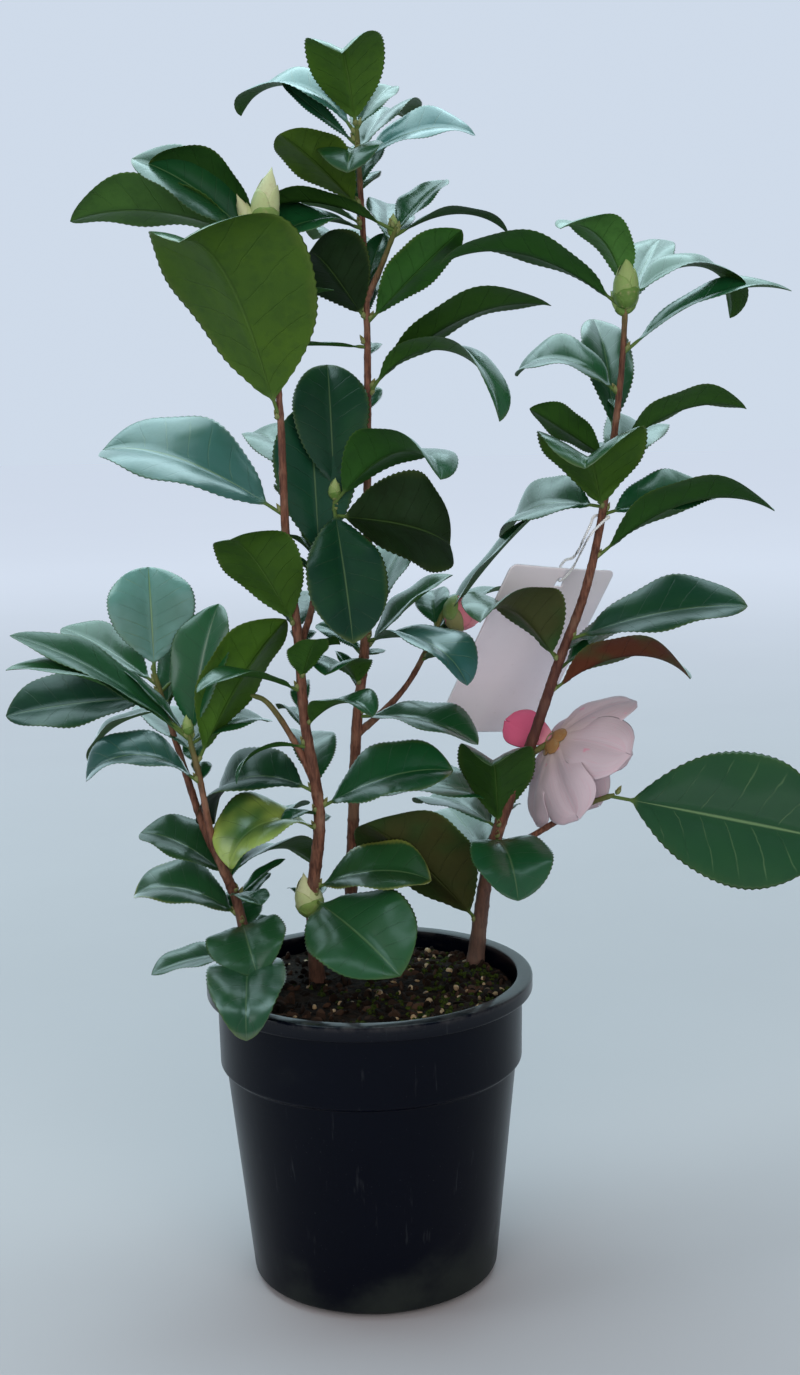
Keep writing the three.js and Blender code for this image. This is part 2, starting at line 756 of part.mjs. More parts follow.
export default plant;
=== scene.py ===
# A potted camellia shrub, dressed for its picture. +Z is up, the origin is the centre of the pot's flat
# underside, +X is the plant's right from its front and +Y its back. Places are written in millimetres, as
# on the drawing of the part, and MM turns them into metres.
import math

import bpy
import numpy as np
from mathutils import Matrix, Vector


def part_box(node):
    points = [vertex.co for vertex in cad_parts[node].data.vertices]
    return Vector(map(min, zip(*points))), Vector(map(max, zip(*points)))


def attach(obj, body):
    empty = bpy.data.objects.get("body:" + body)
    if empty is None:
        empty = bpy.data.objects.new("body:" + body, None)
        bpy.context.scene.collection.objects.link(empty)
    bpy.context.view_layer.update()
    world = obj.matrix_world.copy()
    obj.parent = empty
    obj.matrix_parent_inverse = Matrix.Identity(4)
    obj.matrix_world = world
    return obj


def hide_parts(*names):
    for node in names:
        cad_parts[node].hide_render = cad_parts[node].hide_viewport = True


MM = 0.001
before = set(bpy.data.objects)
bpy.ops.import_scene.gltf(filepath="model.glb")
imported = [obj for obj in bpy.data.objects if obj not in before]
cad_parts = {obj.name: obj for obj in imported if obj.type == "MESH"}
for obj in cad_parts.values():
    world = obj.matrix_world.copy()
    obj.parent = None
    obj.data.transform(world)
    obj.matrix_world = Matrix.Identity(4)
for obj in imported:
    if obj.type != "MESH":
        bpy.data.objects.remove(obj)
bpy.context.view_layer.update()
scene = bpy.context.scene

# Camera: a normal lens a metre in front of the pot, level with the middle of the crown. It looks a little
# down and leans by about a degree, as the picture was taken by hand.
lens = bpy.data.cameras.new("camera")
lens.lens = 50
lens.sensor_width = 36
camera = bpy.data.objects.new("camera", lens)
camera_place = Matrix.Translation((0.019, -0.960, 0.475))
camera_pitch = Matrix.Rotation(math.radians(80.4), 4, "X")
camera_lean = Matrix.Rotation(math.radians(-1.2), 4, "Z")
camera.matrix_world = camera_place @ camera_pitch @ camera_lean
scene.collection.objects.link(camera)
scene.camera = camera


# Light: an overcast sky overhead and a pale wall behind, which draw long pale reflections on the glossy
# leaves, with a weak window to the left, a broad front light that is never mirrored, and a dim even dome.
class Wire:
    """A value in a node tree, on which sums are written as plain expressions."""

    def __init__(self, tree, socket):
        self.tree = tree
        self.socket = socket

    def __add__(self, other):
        return self.tree.maths("ADD", self, other)

    __radd__ = __add__

    def __sub__(self, other):
        return self.tree.maths("SUBTRACT", self, other)

    def __rsub__(self, other):
        return self.tree.maths("SUBTRACT", other, self)

    def __mul__(self, other):
        return self.tree.maths("MULTIPLY", self, other)

    __rmul__ = __mul__

    def __pow__(self, other):
        return self.tree.maths("POWER", self, other)

    def __gt__(self, other):
        return self.tree.maths("GREATER_THAN", self, other)

    def __lt__(self, other):
        return self.tree.maths("LESS_THAN", self, other)

    def __neg__(self):
        return self.tree.maths("MULTIPLY", self, -1.0)

    def __abs__(self):
        return self.tree.maths("ABSOLUTE", self)


class Made:
    """A node that has been made, whose outputs are read by name, identifier or number."""

    def __init__(self, tree, node):
        self.tree = tree
        self.node = node

    def __getitem__(self, key):
        return Wire(self.tree, socket_of(self.node.outputs, key))


def socket_of(sockets, key):
    if isinstance(key, int):
        return sockets[key]
    for socket in sockets:
        if socket.identifier == key:
            return socket
    return sockets[key]


class Tree:
    """A node tree of a material, a light or a shape."""

    def __init__(self, tree):
        self.tree = tree

    def node(self, kind, settings=None, values=None):
        node = self.tree.nodes.new(kind)
        for name, value in (settings or {}).items():
            if name == "stops":
                while len(node.color_ramp.elements) < len(value):
                    node.color_ramp.elements.new(0.5)
                for stop, (position, colour) in zip(node.color_ramp.elements, value):
                    stop.position = position
                    stop.color = (*colour, 1)
            else:
                setattr(node, name, value)
        for key, value in (values or {}).items():
            socket = socket_of(node.inputs, key)
            if isinstance(value, Wire):
                self.tree.links.new(value.socket, socket)
            elif socket.type == "RGBA" and len(value) == 3:
                socket.default_value = (*value, 1)
            else:
                socket.default_value = value
        return Made(self, node)

    def maths(self, operation, *terms):
        return self.node("ShaderNodeMath", {"operation": operation}, dict(enumerate(terms)))[0]

    def within(self, value, low, high):
        """0 below low, 1 above high and a smooth step between them."""
        sizes = {"Value": value, "From Min": low, "From Max": high}
        return self.node("ShaderNodeMapRange", {"interpolation_type": "SMOOTHSTEP"}, sizes)["Result"]

    def blend(self, factor, first, second):
        values = {"Factor_Float": factor, "A_Color": first, "B_Color": second}
        return self.node("ShaderNodeMix", {"data_type": "RGBA"}, values)["Result_Color"]

    def noise(self, place, scale, detail=2.0, roughness=0.5):
        values = {"Vector": place, "Scale": scale, "Detail": detail, "Roughness": roughness}
        return self.node("ShaderNodeTexNoise", None, values)["Fac"]

    def place(self):
        return self.node("ShaderNodeTexCoord")["Object"]

    def parts(self, vector):
        return self.node("ShaderNodeSeparateXYZ", None, {"Vector": vector})

    def stretched(self, vector, scale):
        return self.node("ShaderNodeMapping", None, {"Vector": vector, "Scale": scale})["Vector"]

    def bump(self, height, strength, distance):
        values = {"Height": height, "Strength": strength, "Distance": distance}
        return self.node("ShaderNodeBump", None, values)["Normal"]


light_target = Vector((0, 0, 0.35))


def soft_light(name, place, size, power, colour):
    """A panel that is turned towards the middle of the plant."""
    panel = bpy.data.lights.new(name, "AREA")
    panel.shape = "RECTANGLE"
    panel.size, panel.size_y = size
    panel.energy = power
    panel.color = colour
    light = bpy.data.objects.new(name, panel)
    light.location = place
    light.rotation_euler = (light_target - Vector(place)).to_track_quat("-Z", "Y").to_euler()
    scene.collection.objects.link(light)
    return light


soft_light("sky_light", (-0.2, 0.6, 2.1), (2.6, 2.0), 46, (0.66, 0.93, 1.0))
soft_light("window_light", (-1.9, -0.5, 1.1), (0.8, 1.6), 6, (0.86, 0.95, 1.0))
wall_light = soft_light("wall_light", (0.0, 1.5, 0.9), (3.6, 2.2), 24, (0.66, 0.92, 1.0))
wall_light.visible_camera = False
wall_light.visible_diffuse = False
room_light = soft_light("room_light", (0.2, -3.0, 1.6), (4.8, 2.6), 74, (1.0, 0.97, 0.92))
room_light.visible_glossy = False
dome_colour = (0.76, 0.86, 1.0)
dome_light = 0.20
dome_seen = 0.82
world = bpy.data.worlds.new("overcast")
world.use_nodes = True
world.node_tree.nodes.clear()
sky = Tree(world.node_tree)
seen = sky.node("ShaderNodeLightPath")["Is Camera Ray"]
strength = dome_light + seen * (dome_seen - dome_light)
dome = sky.node("ShaderNodeBackground", None, {"Color": dome_colour, "Strength": strength})
sky.node("ShaderNodeOutputWorld", None, {"Surface": dome["Background"]})
scene.world = world
scene.view_settings.view_transform = "Standard"


# Floor: a plain pale sheet, which only catches the pot's shadow and glows a little far away, where it meets
# the dome.
def surface(name, values_of):
    """A material from the function that gives the values of its shader's sockets."""
    made = bpy.data.materials.new(name)
    made.use_nodes = True
    made.node_tree.nodes.clear()
    tree = Tree(made.node_tree)
    shader = tree.node("ShaderNodeBsdfPrincipled", None, values_of(tree))
    tree.node("ShaderNodeOutputMaterial", None, {"Surface": shader["BSDF"]})
    return made


def piece_of(name, mesh, materials):
    """A piece at the origin, from a finished mesh and its materials."""
    piece = bpy.data.objects.new(name, mesh)
    scene.collection.objects.link(piece)
    mesh.name = name
    mesh.materials.clear()
    for material in materials:
        mesh.materials.append(material)
    return piece


def paper_floor(tree):
    place = tree.place()
    grain = tree.noise(place, 3.0, 4.0)
    away = tree.node("ShaderNodeVectorMath", {"operation": "LENGTH"}, {0: place})["Value"]
    far = tree.within(away, 0.3, 3.8)
    return {
        "Base Color": tree.blend(grain, (0.56, 0.52, 0.54), (0.61, 0.57, 0.59)),
        "Emission Color": tree.blend(far, (0, 0, 0), (0.53, 0.60, 0.70)),
        "Emission Strength": 1.0,
        "Roughness": 0.85,
        "Specular IOR Level": 0.0,
    }


floor_reach = 9.0
floor_corners = [(x * floor_reach, y * floor_reach, 0) for x, y in ((-1, -1), (1, -1), (1, 1), (-1, 1))]
floor_mesh = bpy.data.meshes.new("floor")
floor_mesh.from_pydata(floor_corners, [], [(0, 1, 2, 3)])
floor = piece_of("floor", floor_mesh, [surface("paper_floor", paper_floor)])

# Pot: an injection-moulded black nursery pot, thin-walled and tapering, with a wider collar, a rolled rim
# and six drain holes. It has been handled: dusty low down, scuffed, and worn paler on the rim.
pot_height = 162
pot_rim_radius = 85
pot_foot_radius = 64.5
pot_wall = 2.6
pot_floor = 3
body_top_radius = 76
collar_radius = 79.5
collar_depth = 46
collar_step = 1.5
collar_draft = 0.5
rim_depth = 9
rim_slope = 1.2
foot_rounding = 7
drain_holes = 6
drain_hole_radius = 4
drain_hole_circle = 46
drain_hole_sides = 20
edge_rounding = 1.4
turned_sides = 144
collar_foot = pot_height - collar_depth
rim_foot = pot_height - rim_depth


def rounded(profile, radius, steps=4):
    """The corners of a turned piece's outline, each replaced by a short arc."""
    places = [Vector(place) for place in profile]
    line = [places[0]]
    for before, corner, after in zip(places, places[1:], places[2:]):
        reach = min(radius, (before - corner).length * 0.45, (after - corner).length * 0.45)
        start = corner + (before - corner).normalized() * reach
        end = corner + (after - corner).normalized() * reach
        for step in range(steps + 1):
            share = step / steps
            line.append(start.lerp(corner, share).lerp(corner.lerp(end, share), share))
    line.append(places[-1])
    return [(place.x, place.y) for place in line]


def turned(name, profile, sides):
    """A closed mesh turned about the upright axis, from an outline that starts and ends on it."""
    ring = [2 * math.pi * side / sides for side in range(sides)]
    inner = profile[1:-1]
    verts = [(r * math.cos(a) * MM, r * math.sin(a) * MM, z * MM) for r, z in inner for a in ring]
    foot = len(verts)
    verts += [(0, 0, profile[0][1] * MM), (0, 0, profile[-1][1] * MM)]
    faces = []
    for row in range(len(inner) - 1):
        for side in range(sides):
            after = (side + 1) % sides
            below = row * sides
            faces.append((below + side, below + after, below + sides + after, below + sides + side))
    top = (len(inner) - 1) * sides
    for side in range(sides):
        after = (side + 1) % sides
        faces.append((foot, after, side))
        faces.append((foot + 1, top + side, top + after))
    mesh = bpy.data.meshes.new(name)
    mesh.from_pydata(verts, [], faces)
    mesh.shade_smooth()
    return mesh


pot_outline = [
    (0, 0),
    (pot_foot_radius - foot_rounding, 0),
    (pot_foot_radius, foot_rounding * 0.6),
    (body_top_radius, collar_foot),
    (collar_radius - collar_draft, collar_foot + collar_step),
    (collar_radius, rim_foot),
    (pot_rim_radius, rim_foot + rim_slope),
    (pot_rim_radius, pot_height),
    (collar_radius - pot_wall, pot_height),
    (collar_radius - collar_step - pot_wall, collar_foot + 2 * collar_step),
    (body_top_radius - pot_wall, collar_foot),
    (pot_foot_radius - pot_wall, foot_rounding),
    (pot_foot_radius - foot_rounding, pot_floor),
    (0, pot_floor),
]


def black_plastic(tree):
    place = tree.place()
    parts = tree.parts(place)
    height = parts["Z"]
    cloud = tree.noise(place, 14.0, 5.0, 0.6)
    drawn = tree.stretched(place, (1.0, 1.0, 0.12))
    scuff = tree.within(tree.noise(drawn, 170.0, 3.0, 0.7), 0.64, 0.76)
    low = 1 - tree.within(height, 0.002, 0.05)
    dust = tree.within(cloud + low * 0.30, 0.62, 0.92)
    worn = tree.within(tree.noise(place, 60.0, 4.0, 0.7) + parts["X"] * 1.2, 0.44, 0.62)
    wear = tree.within(height, 0.1585, 0.1622) * worn
    speck = tree.within(tree.noise(place, 900.0, 1.0), 0.74, 0.80)
    bare = tree.blend(cloud, (0.0003, 0.0009, 0.0042), (0.0008, 0.0018, 0.0068))
    dusty = tree.blend(dust * 0.6, bare, (0.030, 0.036, 0.030))
    scuffed = tree.blend(scuff * 0.10 + speck * 0.10, dusty, (0.13, 0.14, 0.15))
    wave = tree.noise(place, 22.0, 2.0)
    return {
        "Base Color": tree.blend(wear * 0.16, scuffed, (0.22, 0.20, 0.19)),
        "Roughness": 0.24 + cloud * 0.14 + dust * 0.25 + scuff * 0.12 + wear * 0.2,
        "Specular IOR Level": 0.04,
        "Coat Weight": tree.within(height, 0.150, 0.160) * 0.30 + 0.16,
        "Coat Roughness": 0.12,
        "Normal": tree.bump(wave + tree.noise(place, 700.0, 2.0) * 0.05, 0.35, 0.0012),
    }


def finished(holder):
    """The mesh of an object with its modifiers worked out, and the object taken away."""
    graph = bpy.context.evaluated_depsgraph_get()
    mesh = bpy.data.meshes.new_from_object(
        holder.evaluated_get(graph), preserve_all_data_layers=True, depsgraph=graph
    )
    bpy.data.objects.remove(holder)
    return mesh


def drill(place):
    """A round bar through the pot's floor, which cuts a drain hole."""
    sides = drain_hole_sides
    ring = [2 * math.pi * side / sides for side in range(sides)]
    verts = []
    for height in (-pot_floor, 2 * pot_floor):
        for angle in ring:
            across = place[0] + drain_hole_radius * math.cos(angle)
            back = place[1] + drain_hole_radius * math.sin(angle)
            verts.append((across * MM, back * MM, height * MM))
    faces = [tuple(range(sides - 1, -1, -1)), tuple(range(sides, 2 * sides))]
    for side in range(sides):
        after = (side + 1) % sides
        faces.append((side, after, sides + after, sides + side))
    mesh = bpy.data.meshes.new("drill")
    mesh.from_pydata(verts, [], faces)
    return mesh


pot_blank = piece_of("pot_blank", turned("pot_blank", rounded(pot_outline, edge_rounding), turned_sides), [])
drills = []
for hole in range(drain_holes):
    angle = 2 * math.pi * hole / drain_holes
    centre = (drain_hole_circle * math.cos(angle), drain_hole_circle * math.sin(angle))
    drills.append(piece_of(f"drill_{hole}", drill(centre), []))
    cut = pot_blank.modifiers.new("drain", "BOOLEAN")
    cut.object = drills[-1]
    cut.solver = "EXACT"
pot_mesh = finished(pot_blank)
for tool in drills:
    bpy.data.objects.remove(tool)
pot = piece_of("nursery_pot", pot_mesh, [surface("black_plastic", black_plastic)])
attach(pot, "root")
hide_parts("pot")

# Soil: a bark compost filled to a finger's breadth under the rim, with its crumbs, loose chips of bark,
# pale beads of fertiliser and grit, and cushions of moss towards the right.
soil_height = 153
soil_edge = 3
soil_shoulder = 2
soil_rings = 46
touch_gap = 0.3
soil_radius = collar_radius - pot_wall - touch_gap
soil_outline = [
    (0, pot_floor + touch_gap),
    (pot_foot_radius - foot_rounding - touch_gap, pot_floor + touch_gap),
    (pot_foot_radius - pot_wall - touch_gap, foot_rounding + touch_gap),
    (body_top_radius - pot_wall - touch_gap, collar_foot),
    (soil_radius - collar_step, collar_foot + 2 * collar_step),
    (soil_radius - collar_step / 2, soil_height - soil_edge),
]
for ring in range(soil_rings):
    soil_outline.append(((soil_radius - soil_shoulder) * (1 - ring / soil_rings), soil_height))
soil_outline.append((0, soil_height))


def shape(name, sizes, build):
    """A tree of nodes that makes a shape, with a named input for each of its sizes."""
    kinds = {float: "Float", int: "Int", tuple: "Vector"}
    group = bpy.data.node_groups.new(name, "GeometryNodeTree")
    group.interface.new_socket("Geometry", in_out="INPUT", socket_type="NodeSocketGeometry")
    for label, size in sizes.items():
        kind = kinds.get(type(size), "Material")
        group.interface.new_socket(label, in_out="INPUT", socket_type="NodeSocket" + kind)
    group.interface.new_socket("Geometry", in_out="OUTPUT", socket_type="NodeSocketGeometry")
    tree = Tree(group)
    given = tree.node("NodeGroupInput")
    realized = tree.node("GeometryNodeRealizeInstances", None, {"Geometry": build(tree, given)})
    dressed = {"Geometry": realized["Geometry"], "Material": given["Material"]}
    made = tree.node("GeometryNodeSetMaterial", None, dressed)
    tree.node("NodeGroupOutput", None, {"Geometry": made["Geometry"]})
    return group


def grown(name, base, group, sizes):
    """A piece from a base mesh and a shape's tree, worked out to a plain mesh."""
    holder = bpy.data.objects.new(name, base)
    scene.collection.objects.link(holder)
    modifier = holder.modifiers.new("shape", "NODES")
    modifier.node_group = group
    for item in group.interface.items_tree:
        if item.in_out == "INPUT" and item.name in sizes:
            modifier[item.identifier] = sizes[item.name]
    return piece_of(name, finished(holder), [sizes["Material"]])


def position(tree):
    return tree.node("GeometryNodeInputPosition")["Position"]


def vector_of(tree, operation, first, second):
    """Maths on two vectors, or on a vector and the number that scales it."""
    values = {"Vector": first, "Scale" if operation == "SCALE" else "Vector_001": second}
    return tree.node("ShaderNodeVectorMath", {"operation": operation}, values)["Vector"]


def shifted(tree, geometry, offset):
    values = {"Geometry": geometry, "Offset": offset}
    return tree.node("GeometryNodeSetPosition", None, values)["Geometry"]


def swollen(tree, geometry, amount):
    """A shape with its surface moved outwards by an amount."""
    outwards = tree.node("GeometryNodeInputNormal")["Normal"]
    return shifted(tree, geometry, vector_of(tree, "SCALE", outwards, amount))


def crumbly(tree, given):
    """The soil's top side, lifted into lumps and crumbs."""
    place = position(tree)
    top = tree.parts(place)["Z"] > (soil_height - 1) * MM
    lumps = tree.noise(place, 55.0, 5.0, 0.65) - 0.5
    crumbs = tree.noise(place, 260.0, 3.0, 0.6) - 0.5
    lift = (lumps * given["Lumps"] + crumbs * given["Crumbs"]) * top
    return shifted(tree, given["Geometry"], tree.node("ShaderNodeCombineXYZ", None, {"Z": lift})["Vector"])


def scattered(tree, given):
    """Loose bits on the top of the soil, each a squashed ball with a rough surface."""
    place = position(tree)
    parts = tree.parts(place)
    away = (parts["X"] * parts["X"] + parts["Y"] * parts["Y"]) ** 0.5
    top = (parts["Z"] > (soil_height - 6) * MM) * (away < given["Reach"])
    patch = tree.within(tree.noise(place, 30.0, 1.0) + parts["X"] * given["Drift"], 0.40, 0.62)
    density = given["Density"] * top * (patch * given["Patchy"] + (1 - given["Patchy"]))
    values = {"Mesh": given["Geometry"], "Density": density, "Seed": given["Seed"]}
    points = tree.node("GeometryNodeDistributePointsOnFaces", None, values)["Points"]
    values = {"Radius": given["Size"], "Subdivisions": given["Fineness"]}
    ball = tree.node("GeometryNodeMeshIcoSphere", None, values)["Mesh"]
    drawn = []
    for least, most in (((0, 0, 0), (math.pi, math.pi, math.pi)), (given["Least"], given["Most"])):
        values = {"Min": least, "Max": most, "Seed": given["Seed"]}
        drawn.append(tree.node("FunctionNodeRandomValue", {"data_type": "FLOAT_VECTOR"}, values)["Value"])
    values = {"Points": points, "Instance": ball, "Rotation": drawn[0], "Scale": drawn[1]}
    bits = tree.node("GeometryNodeInstanceOnPoints", None, values)["Instances"]
    bits = tree.node("GeometryNodeRealizeInstances", None, {"Geometry": bits})["Geometry"]
    return swollen(tree, bits, (tree.noise(position(tree), 420.0, 2.0) - 0.5) * given["Roughness"])


def grain_shades(tree, scale, channel, stops):
    """A colour for each grain of a surface, out of a ramp."""
    values = {"Vector": tree.place(), "Scale": scale}
    grain = tree.node("ShaderNodeTexVoronoi", None, values)["Color"]
    shade = tree.node("ShaderNodeSeparateColor", None, {"Color": grain})[channel]
    return tree.node("ShaderNodeValToRGB", {"stops": stops}, {"Fac": shade})["Color"]


def compost(tree):
    place = tree.place()
    fine = tree.noise(place, 380.0, 4.0, 0.7)
    broad = tree.noise(place, 40.0, 3.0)
    damp = tree.blend(tree.within(fine, 0.35, 0.75), (0.0035, 0.0026, 0.002), (0.034, 0.019, 0.012))
    return {
        "Base Color": tree.blend(tree.within(broad, 0.5, 0.7) * 0.3, damp, (0.045, 0.027, 0.016)),
        "Roughness": 0.92,
        "Specular IOR Level": 0.2,
        "Normal": tree.bump(fine, 0.8, 0.0015),
    }


def bark_chips(tree):
    browns = [(0.0, (0.004, 0.003, 0.0025)), (0.6, (0.022, 0.012, 0.008)), (1.0, (0.085, 0.045, 0.028))]
    colour = grain_shades(tree, 130.0, "Red", browns)
    grain = tree.noise(tree.place(), 600.0, 3.0, 0.7)
    return {
        "Base Color": tree.blend(grain * 0.35, colour, (0.012, 0.008, 0.006)),
        "Roughness": 0.85,
        "Specular IOR Level": 0.25,
        "Normal": tree.bump(grain, 0.7, 0.0008),
    }


def pale_beads(tree):
    tans = [(0.0, (0.40, 0.25, 0.12)), (0.5, (0.52, 0.39, 0.23)), (1.0, (0.16, 0.09, 0.045))]
    return {
        "Base Color": grain_shades(tree, 160.0, "Green", tans),
        "Roughness": 0.5,
        "Normal": tree.bump(tree.noise(tree.place(), 900.0, 2.0), 0.4, 0.0004),
    }


def cushion_moss(tree):
    tuft = tree.noise(tree.place(), 700.0, 3.0, 0.8)
    return {
        "Base Color": tree.blend(tree.within(tuft, 0.3, 0.7), (0.006, 0.014, 0.003), (0.06, 0.085, 0.012)),
        "Roughness": 0.95,
        "Specular IOR Level": 0.2,
        "Normal": tree.bump(tuft, 1.0, 0.0012),
    }


soil_values = {"Lumps": 0.007, "Crumbs": 0.0022, "Material": surface("compost", compost)}
soil_blank = turned("soil_blank", soil_outline, turned_sides)
soil = grown("potting_soil", soil_blank, shape("crumbly_top", soil_values, crumbly), soil_values)
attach(soil, "root")
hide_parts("soil")
bit_reach = (soil_radius - 4) * MM
loose_bits = {
    "bark_chips": {
        "Density": 30000.0, "Patchy": 0.0, "Drift": 0.0, "Reach": bit_reach, "Size": 0.0030,
        "Least": (0.35, 0.5, 0.2), "Most": (1.5, 1.1, 0.5), "Fineness": 2, "Roughness": 0.0014, "Seed": 11,
        "Material": surface("bark_chips", bark_chips),
    },
    "pale_beads": {
        "Density": 9500.0, "Patchy": 0.80, "Drift": 2.2, "Reach": bit_reach, "Size": 0.0018,
        "Least": (0.25, 0.25, 0.25), "Most": (1.5, 1.3, 1.2), "Fineness": 2, "Roughness": 0.0002, "Seed": 5,
        "Material": surface("pale_beads", pale_beads),
    },
    "moss_cushions": {
        "Density": 38000.0, "Patchy": 1.0, "Drift": 4.4, "Reach": bit_reach, "Size": 0.0017,
        "Least": (0.5, 0.5, 0.35), "Most": (1.3, 1.3, 0.9), "Fineness": 2, "Roughness": 0.0012, "Seed": 23,
        "Material": surface("cushion_moss", cushion_moss),
    },
}
bits_shape = shape("scattered_bits", loose_bits["bark_chips"], scattered)
for name, sizes in loose_bits.items():
    bits = grown(name, soil.data.copy(), bits_shape, sizes)
    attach(bits, "root")

# Stems and boughs: woody shoots that rise out of the soil, reddish brown with a fine cracked bark, greyer
# at the foot and green towards the tips, thickened where they fork and ringed where leaves have dropped.
stem_foot_radius = 3.9
bough_radius = 2.4
tip_radius = 1.3
stem_flare = 1.35
flare_reach = 0.04
taper_bend = 0.8
buried = soil_height - 6
bark_depth = 0.55
bark_step = 1.6
scar_spacing = 3.1
scar_swell = 0.1
fork_swell = 0.35
fork_reach = 5
tip_rounding = 2.5
green_reach = 34
grey_top = 225
grey_fade = 60
purple_height = 290
purple_reach = 75
course_steps = 200


class Course:
    """A smooth line through a shoot's places, with the radius along it."""

    def __init__(self, foot_radius, flare, places):
        self.foot_radius = foot_radius
        self.flare = flare
        self.places = [np.array(place, float) for place in places]
        self.turns = np.linspace(0, 1, course_steps + 1)
        line = [self.at_turn(turn) for turn in self.turns]
        steps = [np.linalg.norm(after - before) for before, after in zip(line, line[1:])]
        self.lengths = np.concatenate([[0], np.cumsum(steps)])
        self.length = self.lengths[-1]

    def at_turn(self, turn):
        count = len(self.places)
        along = (count - 1) * turn
        index = min(int(math.floor(along)), count - 1)
        weight = along - index
        if index == count - 1:
            index = count - 2
            weight = 1.0
        second = self.places[index]
        third = self.places[index + 1]
        first = self.places[index - 1] if index > 0 else 2 * second - third
        fourth = self.places[index + 2] if index + 2 < count else 2 * third - second
        near = np.linalg.norm(second - first) ** 0.5
        middle = np.linalg.norm(third - second) ** 0.5
        far = np.linalg.norm(fourth - third) ** 0.5
        leaving = (second - first) / near - (third - first) / (near + middle) + (third - second) / middle
        coming = (third - second) / middle - (fourth - second) / (middle + far) + (fourth - third) / far
        leaving = leaving * middle
        coming = coming * middle
        square = -3 * second + 3 * third - 2 * leaving - coming
        cube = 2 * second - 2 * third + leaving + coming
        return second + leaving * weight + square * weight**2 + cube * weight**3

    def at(self, share):
        return self.at_turn(np.interp(share * self.length, self.lengths, self.turns))

    def share_at(self, height):
        low = 0.0
        high = 1.0
        for _ in range(24):
            middle = (low + high) / 2
            if self.at(middle)[2] < height:
                low = middle
            else:
                high = middle
        return high

    def radius_at(self, share):
        taper = self.foot_radius + (tip_radius - self.foot_radius) * share**taper_bend
        return taper * (1 + (self.flare - 1) * math.exp(-share / flare_reach))


shoots = {
    "left": Course(stem_foot_radius * 0.85, stem_flare, [
        (-53, 10, buried), (-64, 5, 180), (-70, 3, 207), (-84, 5, 240), (-96, 9, 280), (-108, 13, 322),
    ]),
    "left_inner": Course(bough_radius, 1, [
        (-70, 3, 207), (-75, -4, 222), (-80, -6, 242), (-84, -7, 268), (-89, -9, 294),
    ]),
    "middle": Course(stem_foot_radius, stem_flare, [
        (-28, 17, buried), (-29, 6, 200), (-24, 1, 246), (-30, -3, 298), (-32, -5, 340), (-36, -9, 385),
        (-37, -12, 450), (-39, -12, 493), (-45, -10, 538),
    ]),
    "middle_side": Course(bough_radius * 0.85, 1, [
        (-25, 0, 262), (-36, -2, 287), (-50, -3, 308), (-57, -4, 311),
    ]),
    "middle_inner": Course(bough_radius * 0.8, 1, [
        (-32, -5, 334), (-26, 2, 350), (-21, 7, 372), (-12, 14, 410),
    ]),
    "back": Course(stem_foot_radius * 0.95, stem_flare, [
        (-12, 38, buried), (-8, 32, 225), (-4, 33, 290), (1, 33, 330), (5, 33, 442), (6, 34, 505),
        (3, 34, 594),
    ]),
    "back_side": Course(bough_radius * 0.8, 1, [
        (-4, 33, 283), (7, 38, 291), (22, 42, 306), (35, 44, 328), (43, 45, 346),
    ]),
    "back_upper": Course(bough_radius * 0.7, 1, [(6, 34, 508), (14, 28, 524), (22, 22, 543)]),
    "right": Course(stem_foot_radius * 1.1, stem_flare, [
        (56, 41, buried), (65, 40, 209), (75, 39, 241), (88, 38, 274), (103, 36, 318), (117, 34, 356),
        (126, 31, 398), (135, 28, 465), (138, 26, 515),
    ]),
    "right_side": Course(bough_radius * 0.8, 1, [
        (64, 40, 206), (75, 34, 217), (94, 28, 230), (114, 20, 244), (130, 15, 251),
    ]),
    "flower": Course(bough_radius * 0.8, 1, [(85, 38, 268), (92, 39, 271), (100, 39, 276)]),
}


def threads(name, lines, readings):
    """A mesh of separate lines of points, with one attribute for each reading."""
    mesh = bpy.data.meshes.new(name)
    places = np.concatenate(lines) * MM
    edges = []
    start = 0
    for line in lines:
        edges += [(start + step, start + step + 1) for step in range(len(line) - 1)]
        start += len(line)
    mesh.from_pydata(places.tolist(), edges, [])
    for label, values in readings.items():
        values = np.concatenate([np.asarray(value, float) for value in values])
        kind, field = ("FLOAT", "value") if values.ndim == 1 else ("FLOAT_VECTOR", "vector")
        layer = mesh.attributes.new(label, kind, "POINT")
        layer.data.foreach_set(field, values.ravel().astype(np.float32))
    return mesh


def ring_along(tree, line, ring, thickness=None):
    """A closed bar: a ring drawn along a line."""
    values = {"Curve": line, "Profile Curve": ring, "Fill Caps": True}
    if thickness:
        values["Scale"] = thickness
    return tree.node("GeometryNodeCurveToMesh", None, values)["Mesh"]


def line_of(tree, given):
    return tree.node("GeometryNodeMeshToCurve", None, {"Mesh": given["Geometry"]})["Curve"]


def ring_of(tree, sides, radius):
    values = {"Resolution": sides, "Radius": radius}
    return tree.node("GeometryNodeCurvePrimitiveCircle", None, values)["Curve"]


def smoothed(tree, geometry):
    return tree.node("GeometryNodeSetShadeSmooth", None, {"Geometry": geometry})["Geometry"]


def reading(tree, name, kind="FLOAT"):
    """An attribute of the mesh, by its name."""
    return tree.node("GeometryNodeInputNamedAttribute", {"data_type": kind}, {"Name": name})["Attribute"]


